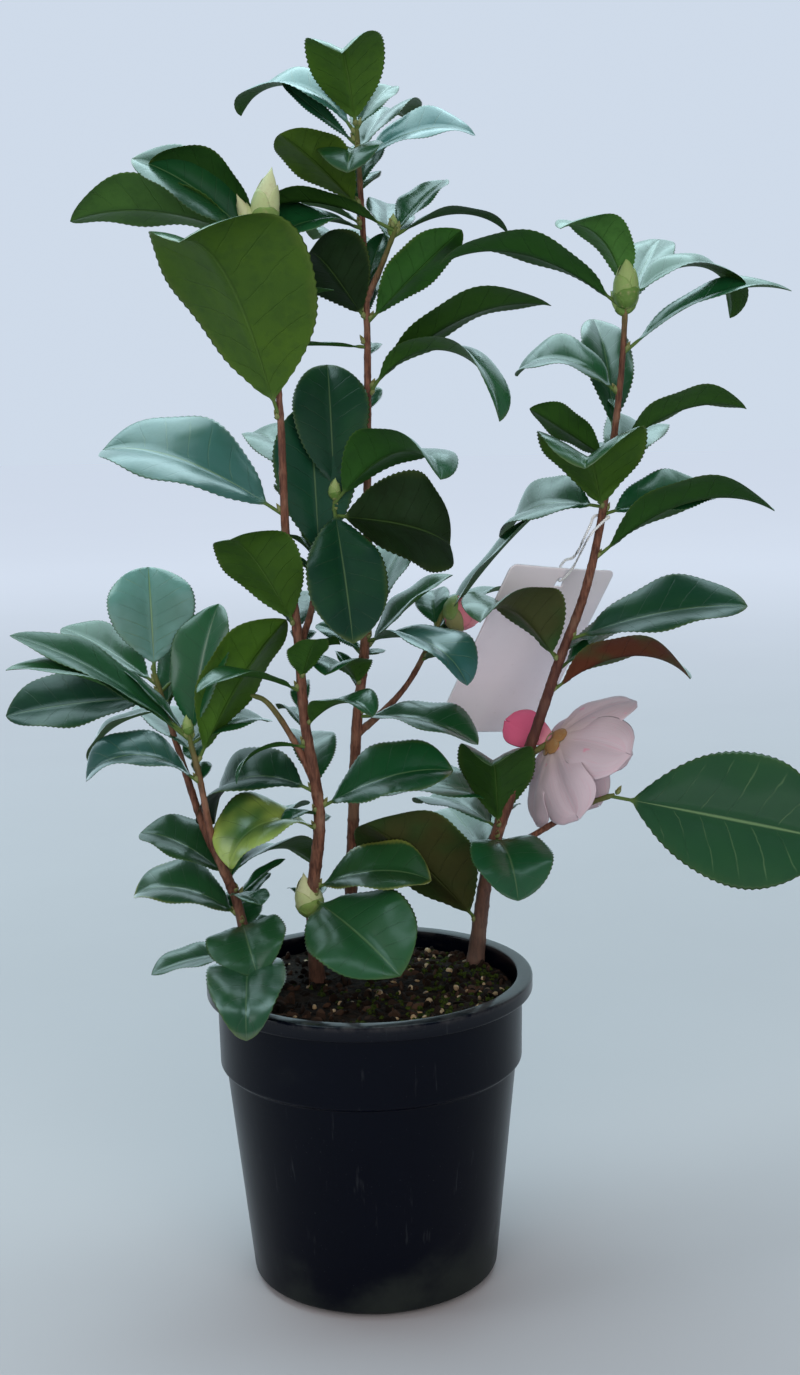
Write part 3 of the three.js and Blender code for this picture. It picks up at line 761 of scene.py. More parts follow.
def barked(tree, given):
    """Round bars along the lines, roughened by bark and banded by leaf scars."""
    ring = ring_of(tree, given["Sides"], 1.0)
    bar = ring_along(tree, line_of(tree, given), ring, reading(tree, "thickness"))
    place = position(tree)
    drawn = vector_of(tree, "MULTIPLY", place, (1.0, 1.0, 0.35))
    relief = (tree.noise(drawn, 420.0, 3.0, 0.65) - 0.5) * given["Depth"]
    waves = (tree.noise(place, 70.0, 2.0) - 0.5) * given["Depth"]
    return smoothed(tree, swollen(tree, bar, relief + waves))


def attribute(tree, name, output="Fac"):
    return tree.node("ShaderNodeAttribute", {"attribute_name": name})[output]


def young_bark(tree):
    place = tree.place()
    fine = tree.noise(tree.stretched(place, (1.0, 1.0, 0.16)), 700.0, 4.0, 0.7)
    patch = tree.noise(place, 75.0, 3.0)
    wood = tree.blend(tree.within(fine, 0.3, 0.7), (0.070, 0.026, 0.017), (0.25, 0.105, 0.064))
    wood = tree.blend(tree.within(patch, 0.48, 0.72) * 0.6, wood, (0.33, 0.19, 0.125))
    wood = tree.blend(tree.within(patch, 0.52, 0.30) * 0.35, wood, (0.05, 0.018, 0.014))
    wood = tree.blend(attribute(tree, "purple") * 0.75, wood, (0.060, 0.020, 0.020))
    wood = tree.blend(attribute(tree, "greyness") * 0.7, wood, (0.115, 0.080, 0.066))
    return {
        "Base Color": tree.blend(attribute(tree, "greenness"), wood, (0.10, 0.15, 0.035)),
        "Roughness": 0.5 + fine * 0.25,
        "Specular IOR Level": 0.3,
        "Normal": tree.bump(fine, 0.6, 0.0007),
    }


bark_lines = []
bark = {"thickness": [], "greenness": [], "greyness": [], "purple": []}
for name, course in shoots.items():
    steps = max(6, round(course.length / bark_step))
    shares = np.linspace(0, 1, steps + 1)
    line = np.array([course.at(share) for share in shares])
    radii = np.array([course.radius_at(share) for share in shares])
    height = line[:, 2]
    from_foot = shares * course.length
    from_tip = course.length * (1 - shares)
    scars = 1 + scar_swell * np.sin(from_foot / scar_spacing + len(name)) ** 24
    fork = 1 + fork_swell * np.exp(-from_foot / fork_reach) * (course.flare == 1)
    tip = np.clip(from_tip / tip_rounding, 0.35, 1) ** 0.5
    bark_lines.append(line)
    bark["thickness"].append(radii * scars * fork * tip * MM)
    bark["greenness"].append(np.clip(1 - from_tip / green_reach, 0, 1) * 0.85)
    old = 1.0 if name == "right" else 0.45
    bark["greyness"].append(np.clip((grey_top - height) / grey_fade, 0, 1) * old)
    dark = np.clip(1 - np.abs(height - purple_height) / purple_reach, 0, 1)
    bark["purple"].append(dark if name == "right" else 0 * dark)
bark_values = {"Sides": 14, "Depth": bark_depth * MM, "Material": surface("young_bark", young_bark)}
bark_shape = shape("barked", bark_values, barked)
stems = grown("stems", threads("stems", bark_lines, bark), bark_shape, bark_values)
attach(stems, "root")
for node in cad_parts:
    if node.startswith(("stem_", "bough_")):
        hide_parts(node)

# Leaves: thick, evergreen and finely toothed, glossy dark green above and matt yellow green below. Each row
# is the height of its root on the shoot, heading and rise of its petiole, length with the petiole, width,
# curl, roll of the blade about its petiole, focus of the curl towards the tip, and fold at the midrib.
petiole_share = 0.1
bend_steps = 36
curl_focus = 1.6
leaf_fold = 16
blade_swell = 0.9
blade_close = 0.72
fill_seed = 271
fill_tries = 60
fill_most = 2
fill_spread = 75
fill_limits = ((10, 65), (55, 90), (26, 42), (15, 80), (-25, 25))
fill_clearance = 9
fill_cover = 13
clear_from = 0.3
clear_step = 6
sample_step = 5
leaf_rows = {
    "left_foot": [
        (214, 172, 42, 54, 38, 50, -20), (192, 190, 40, 62, 40, 80, -25), (202, 30, 38, 34, 12, 20, 0),
        (205, 300, 10, 32, 20, 20, 0), (172, 196, 2, 54, 26, 25, -10), (188, 277, 8, 54, 42, 62, 14),
        (176, 273, 0, 102, 40, 110, 0, 7),
    ],
    "left_outer": [
        (320, 100, 80, 58, 46, 30, 0), (308, 190, 0, 80, 42, 15, -35), (314, 160, 35, 64, 30, 25, -20),
        (302, 182, -8, 52, 26, 70, 0),
    ],
    "left_inner": [
        (291, 188, 42, 104, 30, 30, -25), (289, 197, 43, 102, 32, 50, -10), (276, 24, 62, 88, 48, 25, -60),
        (290, 170, 50, 50, 14, 10, 0), (288, 60, 76, 74, 36, 25, 0), (266, 202, 43, 68, 42, 110, -20),
    ],
    "middle_foot": [
        (201, 304, -10, 78, 58, 25, 24), (206, 340, 26, 66, 42, 60, 26),
        (238, 214, 34, 64, 52, 125, -12, 1.4), (247, 225, 20, 26, 14, 60, 0),
        (250, 350, 30, 74, 46, 45, 30), (258, 172, 30, 82, 50, 120, -24, 1.2),
    ],
    "middle_heart": [
        (283, 208, 14, 54, 9, 85, 30), (345, 226, 56, 72, 42, 55, 30, 3), (312, 212, 28, 62, 26, 60, 0),
        (294, 322, 40, 50, 32, 90, 0, 2), (318, 290, 50, 36, 22, 20, 0),
    ],
    "middle_inner": [
        (408, 95, 80, 76, 40, 40, 0), (374, 100, 80, 86, 44, 20, 0), (405, 335, 48, 90, 46, 110, -30),
        (406, 282, -50, 80, 42, 15, 0), (400, 340, -3, 78, 54, 50, -70),
    ],
    "middle_arm": [
        (402, 172, 34, 108, 56, 50, -35),
    ],
    "middle_crown": [
        (448, 222, 70, 121, 78, 94, 25, 3, 21), (535, 172, 24, 95, 46, 52, 30),
        (532, 194, 46, 76, 40, 40, -50), (536, 158, 62, 70, 34, 85, 40), (500, 345, 30, 34, 16, 30, 0),
    ],
    "back_low": [
        (327, 14, 45, 62, 36, 20, 0), (332, 320, 15, 76, 42, 80, 0), (308, 246, 46, 48, 32, 80, 0),
        (292, 335, 5, 70, 38, 40, 10),
    ],
    "back_side": [
        (328, 2, 55, 90, 26, 15, 0), (320, 316, 20, 36, 22, 60, 0),
    ],
    "back_high": [
        (462, 352, 43, 110, 36, 60, -25), (458, 350, 62, 108, 34, 150, -25, 1),
        (484, 188, 6, 46, 12, 15, 0), (497, 214, 52, 60, 41, 90, 45, 3, 24),
        (496, 335, 42, 70, 30, 10, -35), (500, 170, 35, 45, 12, 5, 0),
    ],
    "back_upper": [
        (541, 190, 28, 86, 30, 72, 8), (540, 50, 38, 50, 26, 10, 0), (538, 5, 30, 64, 22, 80, 0),
    ],
    "back_crown": [
        (592, 252, 66, 56, 40, 118, 16, 3, 30), (588, 185, 60, 84, 34, 120, -40, 1.2),
        (584, 170, 42, 50, 10, 10, -50), (592, 50, 50, 42, 20, 40, 20), (576, 350, 32, 64, 34, 65, 35),
        (553, 222, 38, 64, 34, 20, 25), (580, 262, 8, 40, 34, 75, 0), (543, 222, 14, 62, 36, 72, -20),
    ],
    "right_foot": [
        (175, 205, 50, 98, 60, 24, 42), (222, 280, 8, 60, 44, 80, 0), (228, 262, 68, 62, 42, 110, 0, 4, 28),
        (242, 166, 16, 84, 44, 45, -14),
    ],
    "right_side": [
        (250, 350, -10, 116, 72, 8, 68),
    ],
    "right_low": [
        (301, 355, 38, 86, 42, 90, -30), (318, 222, 50, 80, 47, 92, 14, 2.2, 26),
        (330, 345, 20, 96, 46, 28, 30),
    ],
    "right_middle": [
        (372, 350, 41, 106, 42, 75, -28), (396, 16, 14, 68, 36, 20, 30),
        (398, 250, 52, 60, 56, 116, 6, 3.2, 30), (400, 152, 8, 70, 44, 75, -32),
        (424, 165, 34, 50, 28, 5, 45), (427, 5, 40, 76, 38, 65, -25),
    ],
    "right_top": [
        (457, 188, 46, 62, 40, 105, -32), (478, 355, 40, 96, 26, 60, 20),
        (506, 200, 80, 64, 34, 105, 20, 1.3), (500, 183, 38, 106, 36, 70, 20),
        (503, 5, 44, 84, 34, 150, 20),
    ],
}

# The stretches of shoot between two heights, in the order that they grow. A mass of leaves is named, and
# its leaves grow from the shoot of its first stretch.
stretches = [
    ("", [("left", buried, 164)]),
    ("left_foot", [("left", 164, 228), ("left_inner", 207, 228)]),
    ("", [("left", 228, 298)]),
    ("left_outer", [("left", 298, 322)]),
    ("", [("left_inner", 228, 262)]),
    ("left_inner", [("left_inner", 262, 294)]),
    ("", [("middle", buried, 186)]),
    ("middle_foot", [("middle", 186, 272)]),
    ("middle_heart", [("middle", 272, 354), ("middle_inner", 334, 357)]),
    ("", [("middle_side", 262, 311)]),
    ("", [("middle_inner", 357, 370)]),
    ("middle_inner", [("middle_inner", 370, 410)]),
    ("", [("middle", 354, 394)]),
    ("middle_arm", [("middle", 394, 408)]),
    ("", [("middle", 408, 442)]),
    ("middle_crown", [("middle", 442, 538)]),
    ("", [("back", buried, 280)]),
    ("back_low", [("back", 280, 345)]),
    ("", [("back_side", 283, 314)]),
    ("back_side", [("back_side", 314, 346)]),
    ("", [("back", 345, 450)]),
    ("back_high", [("back", 450, 528)]),
    ("back_upper", [("back_upper", 508, 543)]),
    ("back_crown", [("back", 528, 594)]),
    ("", [("right", buried, 170)]),
    ("right_foot", [("right", 170, 246)]),
    ("", [("right_side", 206, 238)]),
    ("right_side", [("right_side", 238, 251)]),
    ("", [("right", 246, 264)]),
    ("right_low", [("right", 264, 344), ("flower", 268, 276)]),
    ("", [("right", 344, 366)]),
    ("right_middle", [("right", 366, 442)]),
    ("right_top", [("right", 442, 515)]),
]
first_stretch = {mass: parts[0] for mass, parts in stretches if mass}
shoot_of = {mass: name for mass, (name, low, high) in first_stretch.items()}


def turned_about(direction, axis, angle):
    """A direction turned about an axis by an angle in degrees."""
    cos = math.cos(math.radians(angle))
    sin = math.sin(math.radians(angle))
    return direction * cos + np.cross(axis, direction) * sin + axis * np.dot(axis, direction) * (1 - cos)


def direction_of(heading, rise):
    level = math.cos(math.radians(rise))
    heading = math.radians(heading)
    return np.array([level * math.cos(heading), level * math.sin(heading), math.sin(math.radians(rise))])


def midrib(place, forward, across, length, curl, focus):
    """Even steps from root to tip: places, and the directions across and up from the blade."""
    places = []
    ups = []
    place = place.copy()
    for step in range(bend_steps + 1):
        along = turned_about(forward, across, curl * (step / bend_steps) ** focus)
        places.append(place.copy())
        ups.append(np.cross(along, across))
        place = place + along * length / bend_steps
    return np.array(places), across, np.array(ups)


def leaf_of(shoot, row):
    """A leaf's width, the fold at its midrib and the course of that midrib."""
    height, heading, rise, length, width, curl, roll = row[:7]
    focus, fold = (*row[7:], *(curl_focus, leaf_fold)[len(row) - 7:])
    course = shoots[shoot]
    forward = direction_of(heading, rise)
    across = turned_about(direction_of(heading + 90, 0), forward, roll)
    root = course.at(course.share_at(height))
    return width, fold, midrib(root, forward, across, length, curl, focus)


widest_share = blade_swell / (blade_swell + blade_close)
widest = widest_share**blade_swell * (1 - widest_share) ** blade_close


def half_width(width, share):
    blade = np.clip((share - petiole_share) / (1 - petiole_share), 0, 1)
    return (width / 2) * blade**blade_swell * (1 - blade) ** blade_close / widest


def samples_of(leaf):
    """Places on a blade that stand for it when clearances are tried."""
    width, fold, (places, across, ups) = leaf
    samples = []
    for step in range(0, bend_steps + 1, sample_step):
        share = step / bend_steps
        if share < clear_from:
            continue
        for part in (-1, -0.5, 0, 0.5, 1):
            side = half_width(width, share) * part
            lift = abs(side) * math.tan(math.radians(fold))
            samples.append(places[step] + across * side + ups[step] * lift)
    return samples


def unit(place):
    return np.asarray(place, float) / np.linalg.norm(place)


# The label and the flower are told here already, because the leaves are fitted in around them.
label_width = 73
label_length = 109
label_thickness = 1
label_across = unit((57, 42, -9))
label_normal = unit(np.cross(label_across, (-42, 35, -93)))
label_up = np.cross(label_across, label_normal)
label_front = np.cross(label_across, label_up)
label_place = np.array([87, 68, 320])
petal_length = 47
petal_width = 44
petal_fold = 12
petal_focus = 1.5
petal_rings = [(6, 76, 1, 0, -35), (4, 42, 0.85, 30, -20), (1, 125, 0.6, 248, 10)]
flower_axis = unit((0.75, 0.2, -0.6))
flower_foot = shoots["flower"].at(1)


def petals():
    """The petals ring by ring, each with its width, its fold and the course of its midrib."""
    sideways = unit(np.cross(flower_axis, (0, 1, 0)))
    made = []
    for count, opening, size, offset, curl in petal_rings:
        for petal in range(count):
            radial = turned_about(sideways, flower_axis, offset + 360 * petal / count)
            across = np.cross(flower_axis, radial)
            forward = turned_about(flower_axis, across, opening)
            course = midrib(flower_foot, forward, across, petal_length * size, curl, petal_focus)
            made.append((petal_width * size, petal_fold, course))
    return made


taken = []
for x in range(-4, 5):
    for y in range(-6, 7):
        taken.append(label_place + label_across * x * label_width / 8 + label_up * y * label_length / 12)
for mass, parts in stretches:
    for name, low, high in parts:
        height = low
        while height <= high:
            taken.append(shoots[name].at(shoots[name].share_at(height)))
            height += clear_step
for mass, name in shoot_of.items():
    for row in leaf_rows[mass]:
        taken += samples_of(leaf_of(name, row))
for petal in petals():
    taken += samples_of(petal)


class Chance:
    """Seeded numbers, the same on every run."""

    def __init__(self, seed):
        self.state = seed

    def between(self, low, high):
        self.state = (self.state * 16807) % 2147483647
        return low + (high - low) * (self.state / 2147483647)


def fits_in(samples, clearance):
    """A leaf fits where it is clear of all others and each place of it close to one, seen from the front."""
    samples = np.array(samples)
    others = np.array(taken)
    apart = samples[:, None, :] - others[None, :, :]
    if np.linalg.norm(apart, axis=2).min() <= clearance or samples[:, 2].min() <= soil_height + clearance:
        return False
    return bool((np.hypot(apart[:, :, 0], apart[:, :, 2]).min(axis=1) < fill_cover).all())


chance = Chance(fill_seed)
fill_rows = {}
for mass, (name, low, high) in first_stretch.items():
    rows = []
    for _ in range(fill_tries):
        heading = chance.between(90 - fill_spread, 90 + fill_spread)
        height = chance.between((low + high) / 2, high - clear_step)
        row = (height, heading, *[chance.between(*limits) for limits in fill_limits])
        samples = samples_of(leaf_of(name, row))
        if len(rows) < fill_most and fits_in(samples, fill_clearance):
            rows.append(row)
            taken += samples
    fill_rows[mass] = rows

# Small young leaves behind the large ones, drawn by the same rule, finer, inside the reach of the mass that
# they belong to, and only where something before them hides them from the front.
small_seed = 613
small_tries = 60
small_most = 4
small_headings = (20, 160)
small_limits = ((5, 70), (20, 46), (10, 24), (10, 80), (-35, 35))
small_clearance = 4.5
small_cover = 8
small_depth = 2


def hidden_in_front(samples):
    """Whether each place of a leaf has something close before it, as seen from the front."""
    apart = np.array(samples)[:, None, :] - np.array(taken)[None, :, :]
    before = (np.hypot(apart[:, :, 0], apart[:, :, 2]) < small_cover) & (apart[:, :, 1] > small_depth)
    return bool(before.any(axis=1).all())


chance = Chance(small_seed)
for mass, (name, low, high) in first_stretch.items():
    corners = np.array(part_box(f"foliage_{mass}")) / MM
    found = 0
    for _ in range(small_tries):
        heading = chance.between(*small_headings)
        height = chance.between(low, high - clear_step)
        row = (height, heading, *[chance.between(*limits) for limits in small_limits])
        samples = samples_of(leaf_of(name, row))
        inside = (np.array(samples) > corners[0]).all() and (np.array(samples) < corners[1]).all()
        if found < small_most and inside and fits_in(samples, small_clearance) and hidden_in_front(samples):
            fill_rows[mass].append(row)
            taken += samples
            found += 1

# Looks that single leaves have in place of the usual one: painted light where light comes through,
# painted shade where they hang in shade, a painted sky reflection on the uppers of shining ones,
# yellowing, browned or reddened ones, and some with pale veins.
usual = {
    "upper": (0.008, 0.070, 0.022), "under": (0.028, 0.088, 0.012),
    "blotch": 0.0, "brown": 0.15, "veins": 0.2, "flush": 0.0, "gloss": 0.9,
}
looks = {
    # Painted light: leaves lit from behind get lighter colours, as the opaque blades let no light through.
    "painted_light_through": {"upper": (0.014, 0.085, 0.022), "under": (0.054, 0.118, 0.011)},
    "fresh": {"upper": (0.020, 0.095, 0.028), "under": (0.060, 0.165, 0.032)},
    # Painted shade: leaves that hang in shade get darker colours, the underside nearly black.
    "dark": {"upper": (0.008, 0.045, 0.022), "under": (0.006, 0.017, 0.003), "gloss": 0.30},
    "satin": {"upper": (0.014, 0.072, 0.026), "gloss": 0.45},
    "veined": {"upper": (0.012, 0.058, 0.020), "veins": 1.0, "gloss": 0.35},
    # Painted reflection: the upper is painted pale teal, as if it mirrored the sky, on top of full gloss.
    "glossy_painted_sheen": {"upper": (0.036, 0.135, 0.120), "veins": 0.8, "gloss": 1.0},
    # Painted reflection: the whole upper is painted pale teal, standing in for the sky mirrored in it.
    "pale": {"upper": (0.150, 0.360, 0.330), "veins": 1.4, "gloss": 1.0},
    "blotched": {"upper": (0.024, 0.100, 0.026), "under": (0.10, 0.17, 0.03), "blotch": 1.0},
    "rusty": {"upper": (0.018, 0.055, 0.018), "under": (0.050, 0.062, 0.018), "flush": 1.0},
    "olive": {"upper": (0.020, 0.075, 0.020), "under": (0.040, 0.068, 0.018), "flush": 0.25},
    "yellowed": {"upper": (0.014, 0.066, 0.022), "under": (0.06, 0.13, 0.03), "brown": 1.0},
}
look_of = {
    "left_foot": {0: "satin", 1: "yellowed", 5: "satin"},
    "left_outer": {0: "pale", 1: "dark"},
    "left_inner": {0: "satin", 1: "fresh", 2: "painted_light_through", 5: "glossy_painted_sheen"},
    "middle_foot": {0: "satin", 1: "yellowed", 2: "blotched", 5: "dark"},
    "middle_heart": {1: "painted_light_through"},
    "middle_inner": {0: "dark", 1: "dark", 3: "dark", 4: "dark"},
    "middle_arm": {0: "glossy_painted_sheen"},
    "middle_crown": {0: "painted_light_through", 1: "fresh"},
    "back_low": {0: "fresh", 1: "glossy_painted_sheen"},
    "back_high": {3: "dark"},
    "back_crown": {0: "painted_light_through", 1: "glossy_painted_sheen", 2: "dark", 4: "glossy_painted_sheen", 5: "painted_light_through"},
    "right_foot": {0: "olive"},
    "right_side": {0: "veined"},
    "right_low": {0: "rusty", 1: "olive", 2: "dark"},
    "right_middle": {2: "painted_light_through"},
    "right_top": {2: "fresh"},
}
tooth_count = 32
leaf_steps = 2 * tooth_count
petiole_radius = 0.95
petiole_narrowing = 0.55
petiole_top = (0.08, 0.17)
blade_thickness = 0.55
vein_pairs = 8.5
vein_slant = 1.5
leaf_shares = np.linspace(0, 1, leaf_steps + 1)
leaf_chance = Chance(97)


def smooth(value, low, high):
    share = np.clip((value - low) / (high - low), 0, 1)
    return share * share * (3 - 2 * share)


class Blades:
    """Blades that are gathered for one piece, with the readings that the shape and the finish need."""

    def __init__(self):
        self.lines = []
        self.readings = {}

    def add(self, leaf, half, thick, facts):
        places, across, ups = leaf
        shares = np.linspace(0, 1, len(half))
        steps = np.linspace(0, 1, len(places))
        line = np.stack([np.interp(shares, steps, places[:, axis]) for axis in range(3)], axis=1)
        up = np.stack([np.interp(shares, steps, ups[:, axis]) for axis in range(3)], axis=1)
        up /= np.linalg.norm(up, axis=1)[:, None]
        self.lines.append(line)
        told = {"midrib": line * MM, "up": up, "share": shares, "half": half * MM, "thick": thick * MM}
        for label, value in {**facts, "across": across}.items():
            told[label] = np.tile(np.asarray(value, float), (len(shares), 1)).squeeze()
        for label, value in told.items():
            self.readings.setdefault(label, []).append(value)


def stored(tree, geometry, name, value, kind="FLOAT", domain="POINT"):
    """A geometry that keeps a value under a name."""
    values = {"Geometry": geometry, "Name": name, "Value": value}
    settings = {"data_type": kind, "domain": domain}
    return tree.node("GeometryNodeStoreNamedAttribute", settings, values)["Geometry"]


def bladed(tree, given):
    """Blades along the lines: folded up from the midrib, arched, rippled and toothed at the margin."""
    ring = ring_of(tree, given["Sides"], MM)
    ring = stored(tree, ring, "turn", tree.node("GeometryNodeSplineParameter")["Factor"])
    tube = ring_along(tree, line_of(tree, given), ring)
    angle = reading(tree, "turn") * (2 * math.pi)
    cosine = tree.maths("COSINE", angle)
    side = tree.maths("SIGN", cosine) * abs(cosine) ** 1.3
    top = tree.maths("SINE", angle)
    share = reading(tree, "share")
    half = reading(tree, "half")
    seed = reading(tree, "seed")
    blade = tree.within(share, petiole_share, petiole_share + 0.1)
    tooth = tree.maths("FRACT", share * given["Teeth"] + 0.001) * 2
    cut = half - given["Tooth depth"] * tooth * blade * (1 - share**4)
    fold = ((side * side + 0.012) ** 0.5 - 0.11) * reading(tree, "fold")
    arch = (abs(side) - side * side) * given["Arch"]
    sweep = share * given["Waves"] * (2 * math.pi) + seed * 31 + side * 0.9
    ripple = tree.maths("SINE", sweep) * side * side * blade * given["Ripple"]
    ridge = tree.maths("MAXIMUM", -top, 0.0) * (1 - abs(side)) ** 8 * (1 - share) * blade * given["Ridge"]
    row = (share - petiole_share) * vein_pairs - abs(side) * vein_slant
    quilt = tree.maths("COSINE", row * (2 * math.pi)) * (abs(side) - side * side) * blade * given["Quilt"]
    lift = (fold + arch) * half * blade + ripple * half - ridge + quilt + top * reading(tree, "thick")
    across = reading(tree, "across", "FLOAT_VECTOR")
    up = reading(tree, "up", "FLOAT_VECTOR")
    along = vector_of(tree, "CROSS_PRODUCT", across, up)
    notch = given["Notch"] * side * side * share**7
    place = reading(tree, "midrib", "FLOAT_VECTOR")
    for direction, amount in ((across, side * cut), (up, lift), (along, notch)):
        place = vector_of(tree, "ADD", place, vector_of(tree, "SCALE", direction, amount))
    blades = tree.node("GeometryNodeSetPosition", None, {"Geometry": tube, "Position": place})["Geometry"]
    flat = tree.node("ShaderNodeCombineXYZ", None, {"X": side * 0.5 + 0.5, "Y": share})["Vector"]
    blades = stored(tree, blades, "UVMap", flat, "FLOAT2", "CORNER")
    return smoothed(tree, stored(tree, blades, "topside", top))


def camellia_leaf(tree):
    place = tree.place()
    flat = tree.node("ShaderNodeUVMap", {"uv_map": "UVMap"})["UV"]
    parts = tree.parts(flat)
    side = abs(parts["X"] * 2 - 1)
    share = parts["Y"]
    seed = attribute(tree, "seed")
    paleness = attribute(tree, "veins")
    top = attribute(tree, "topside") > 0
    fine = tree.noise(place, 900.0, 3.0, 0.6)
    cloud = tree.noise(place, 38.0, 3.0, 0.55)
    mottle = tree.noise(place, 150.0, 2.0, 0.6)
    midline = 1 - tree.within(side, 0.008, 0.034)
    run = (share - petiole_share) * vein_pairs - side * vein_slant + side * side * 0.4 + (cloud - 0.5) * 0.5
    vein = 1 - tree.within(abs(tree.maths("FRACT", run) - 0.5), 0.0, 0.05)
    vein = vein * tree.within(side, 0.03, 0.12) * (1 - tree.within(side, 0.70, 0.93))
    veins = vein * paleness * tree.within(tree.noise(place, 55.0, 1.0), 0.36, 0.58)
    petiole = 1 - tree.within(share, petiole_share * 0.9, petiole_share * 1.4)
    # Each leaf's own colours, which on some looks are painted light, painted shade or a painted sky
    # reflection.
    upper = attribute(tree, "upper", "Color")
    under = attribute(tree, "under", "Color")
    upper = tree.blend(tree.within(cloud, 0.35, 0.75) * 0.4, upper, (0.016, 0.082, 0.022))
    upper = tree.blend(veins * 0.25 + midline * (0.25 + paleness * 0.35), upper, (0.20, 0.33, 0.14))
    under = tree.blend(tree.within(cloud, 0.3, 0.7) * 0.3, under, (0.022, 0.060, 0.016))
    under = tree.blend(tree.within(mottle, 0.45, 0.7) * 0.22, under, (0.014, 0.042, 0.012))
    under = tree.blend(veins * 0.12 + midline * 0.28, under, (0.10, 0.18, 0.04))
    red = tree.within(tree.noise(place, 32.0, 2.0) - side * 0.12, 0.28, 0.52) * attribute(tree, "flush")
    under = tree.blend(red, under, (0.105, 0.030, 0.013))
    colour = tree.blend(top, under, upper)
    spots = tree.noise(place, 30.0, 2.0, 0.5) + side * 0.16 + share * 0.10 + seed * 0.02
    spots = tree.within(spots, 0.48, 0.86) * attribute(tree, "blotch")
    colour = tree.blend(spots, colour, (0.42, 0.54, 0.10))
    edge = tree.within(share + (cloud - 0.5) * 0.12 + side * side * 0.06, 0.95, 1.03)
    edge = edge + tree.within(side + (cloud - 0.5) * 0.5, 0.86, 1.02) * 0.5
    colour = tree.blend(edge * attribute(tree, "brown"), colour, (0.24, 0.26, 0.05))
    colour = tree.blend(tree.within(side, 0.94, 0.99) * 0.3, colour, (0.10, 0.17, 0.04))
    colour = tree.blend(petiole, colour, (0.10, 0.16, 0.04))
    relief = vein * -0.5 + midline * -0.8 + fine * 0.12 + cloud * 0.9 + mottle * 0.55
    return {
        "Base Color": colour,
        "Roughness": 0.60 - top * (0.25 - cloud * 0.10) + fine * 0.06,
        "Specular IOR Level": 0.14,
        "Coat Weight": top * (1 - petiole) * attribute(tree, "gloss") + 0.03,
        "Coat Roughness": 0.27,
        "Coat IOR": 1.75,
        "Normal": tree.bump(relief, 0.65, 0.0009),
    }


leaf_values = {
    "Sides": 24, "Teeth": float(tooth_count), "Tooth depth": 0.85 * MM, "Arch": 0.34, "Waves": 2.3,
    "Ripple": 0.07, "Quilt": 0.35 * MM, "Ridge": 0.6 * MM, "Notch": 0.0,
    "Material": surface("camellia_leaf", camellia_leaf),
}
blade_shape = shape("bladed", leaf_values, bladed)


def leaf_facts(look):
    """What a leaf's finish needs, with a seeded difference from its look."""
    facts = {**usual, **looks.get(look, {})}
    tone = leaf_chance.between(0.78, 1.25)
    warmth = leaf_chance.between(-0.15, 0.2)
    tint = np.array([tone * (1 + warmth), tone, tone * (1 - 0.4 * warmth)])
    facts["upper"] = np.array(facts["upper"]) * tint
    facts["under"] = np.array(facts["under"]) * tint
    facts["brown"] *= leaf_chance.between(0.2, 1.6)
    facts["seed"] = leaf_chance.between(0, 1)
    return facts


crowns = {name: Blades() for name in ("left", "middle", "back", "right")}
for mass, name in shoot_of.items():
    for index, row in enumerate(leaf_rows[mass] + fill_rows[mass]):
        width, fold, course = leaf_of(name, row)
        least = petiole_radius - petiole_narrowing * smooth(leaf_shares, 0.1, 0.9)
        half = np.maximum(least, half_width(width, leaf_shares))
        to_blade = smooth(leaf_shares, *petiole_top)
        thick = petiole_radius * (1 - to_blade) + to_blade * blade_thickness / 2 * (1 - 0.5 * leaf_shares)
        facts = leaf_facts(look_of.get(mass, {}).get(index))
        facts["fold"] = math.tan(math.radians(fold))
        crowns[mass.split("_")[0]].add(course, half, thick, facts)
for name, blades in crowns.items():
    lines = threads("lines", blades.lines, blades.readings)
    leaves = grown(f"leaves_{name}", lines, blade_shape, leaf_values)
    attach(leaves, "root")
    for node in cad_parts:
        if node.startswith(f"foliage_{name}_"):
            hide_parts(node)

# Buds: flower buds wrapped in overlapping scales, fat and pale green at the crown, rose where one is about
# to open, thin leaf buds at the tips of the shoots, and a small one above the root of each listed leaf.
bud_rows = {
    "left_inner": [(292, 250, 80, 11, 2.6)],
    "middle_foot": [(190, 196, 80, 25, 7.4)],
    "middle_inner": [(408, 285, 70, 12, 3)],
    "middle_crown": [(536, 10, 78, 35, 7.2), (534, 190, 66, 26, 4.4)],
    "back_side": [(344, 6, 0, 24, 9.5)],
    "back_upper": [(538, 80, 70, 13, 2.6)],
    "right_top": [(500, 275, 80, 27, 6.6), (497, 150, 58, 15, 2.8), (498, 20, 55, 14, 2.6)],
}
bud_heights = (0, 0.06, 0.18, 0.34, 0.5, 0.68, 0.84, 1)
bud_swells = (0, 0.55, 0.86, 0.99, 0.96, 0.78, 0.48, 0)
bud_turn = 137.5
bud_spread = 96
bud_kind = {"back_side": "rose", "middle_crown": "pale", "middle_foot": "pale"}
bud_tints = {
    "green": [(0.10, 0.19, 0.03), (0.17, 0.29, 0.06), (0.29, 0.38, 0.13)],
    "rose": [(0.17, 0.26, 0.07), (0.66, 0.13, 0.20), (0.82, 0.30, 0.34)],
    "pale": [(0.17, 0.27, 0.06), (0.34, 0.44, 0.14), (0.58, 0.60, 0.34)],
    "axil": [(0.10, 0.15, 0.04), (0.15, 0.20, 0.06), (0.24, 0.24, 0.09)],
}
scale_thickness = 0.25
axil_length = 5.5
axil_radius = 1.25
axil_lift = 1.5


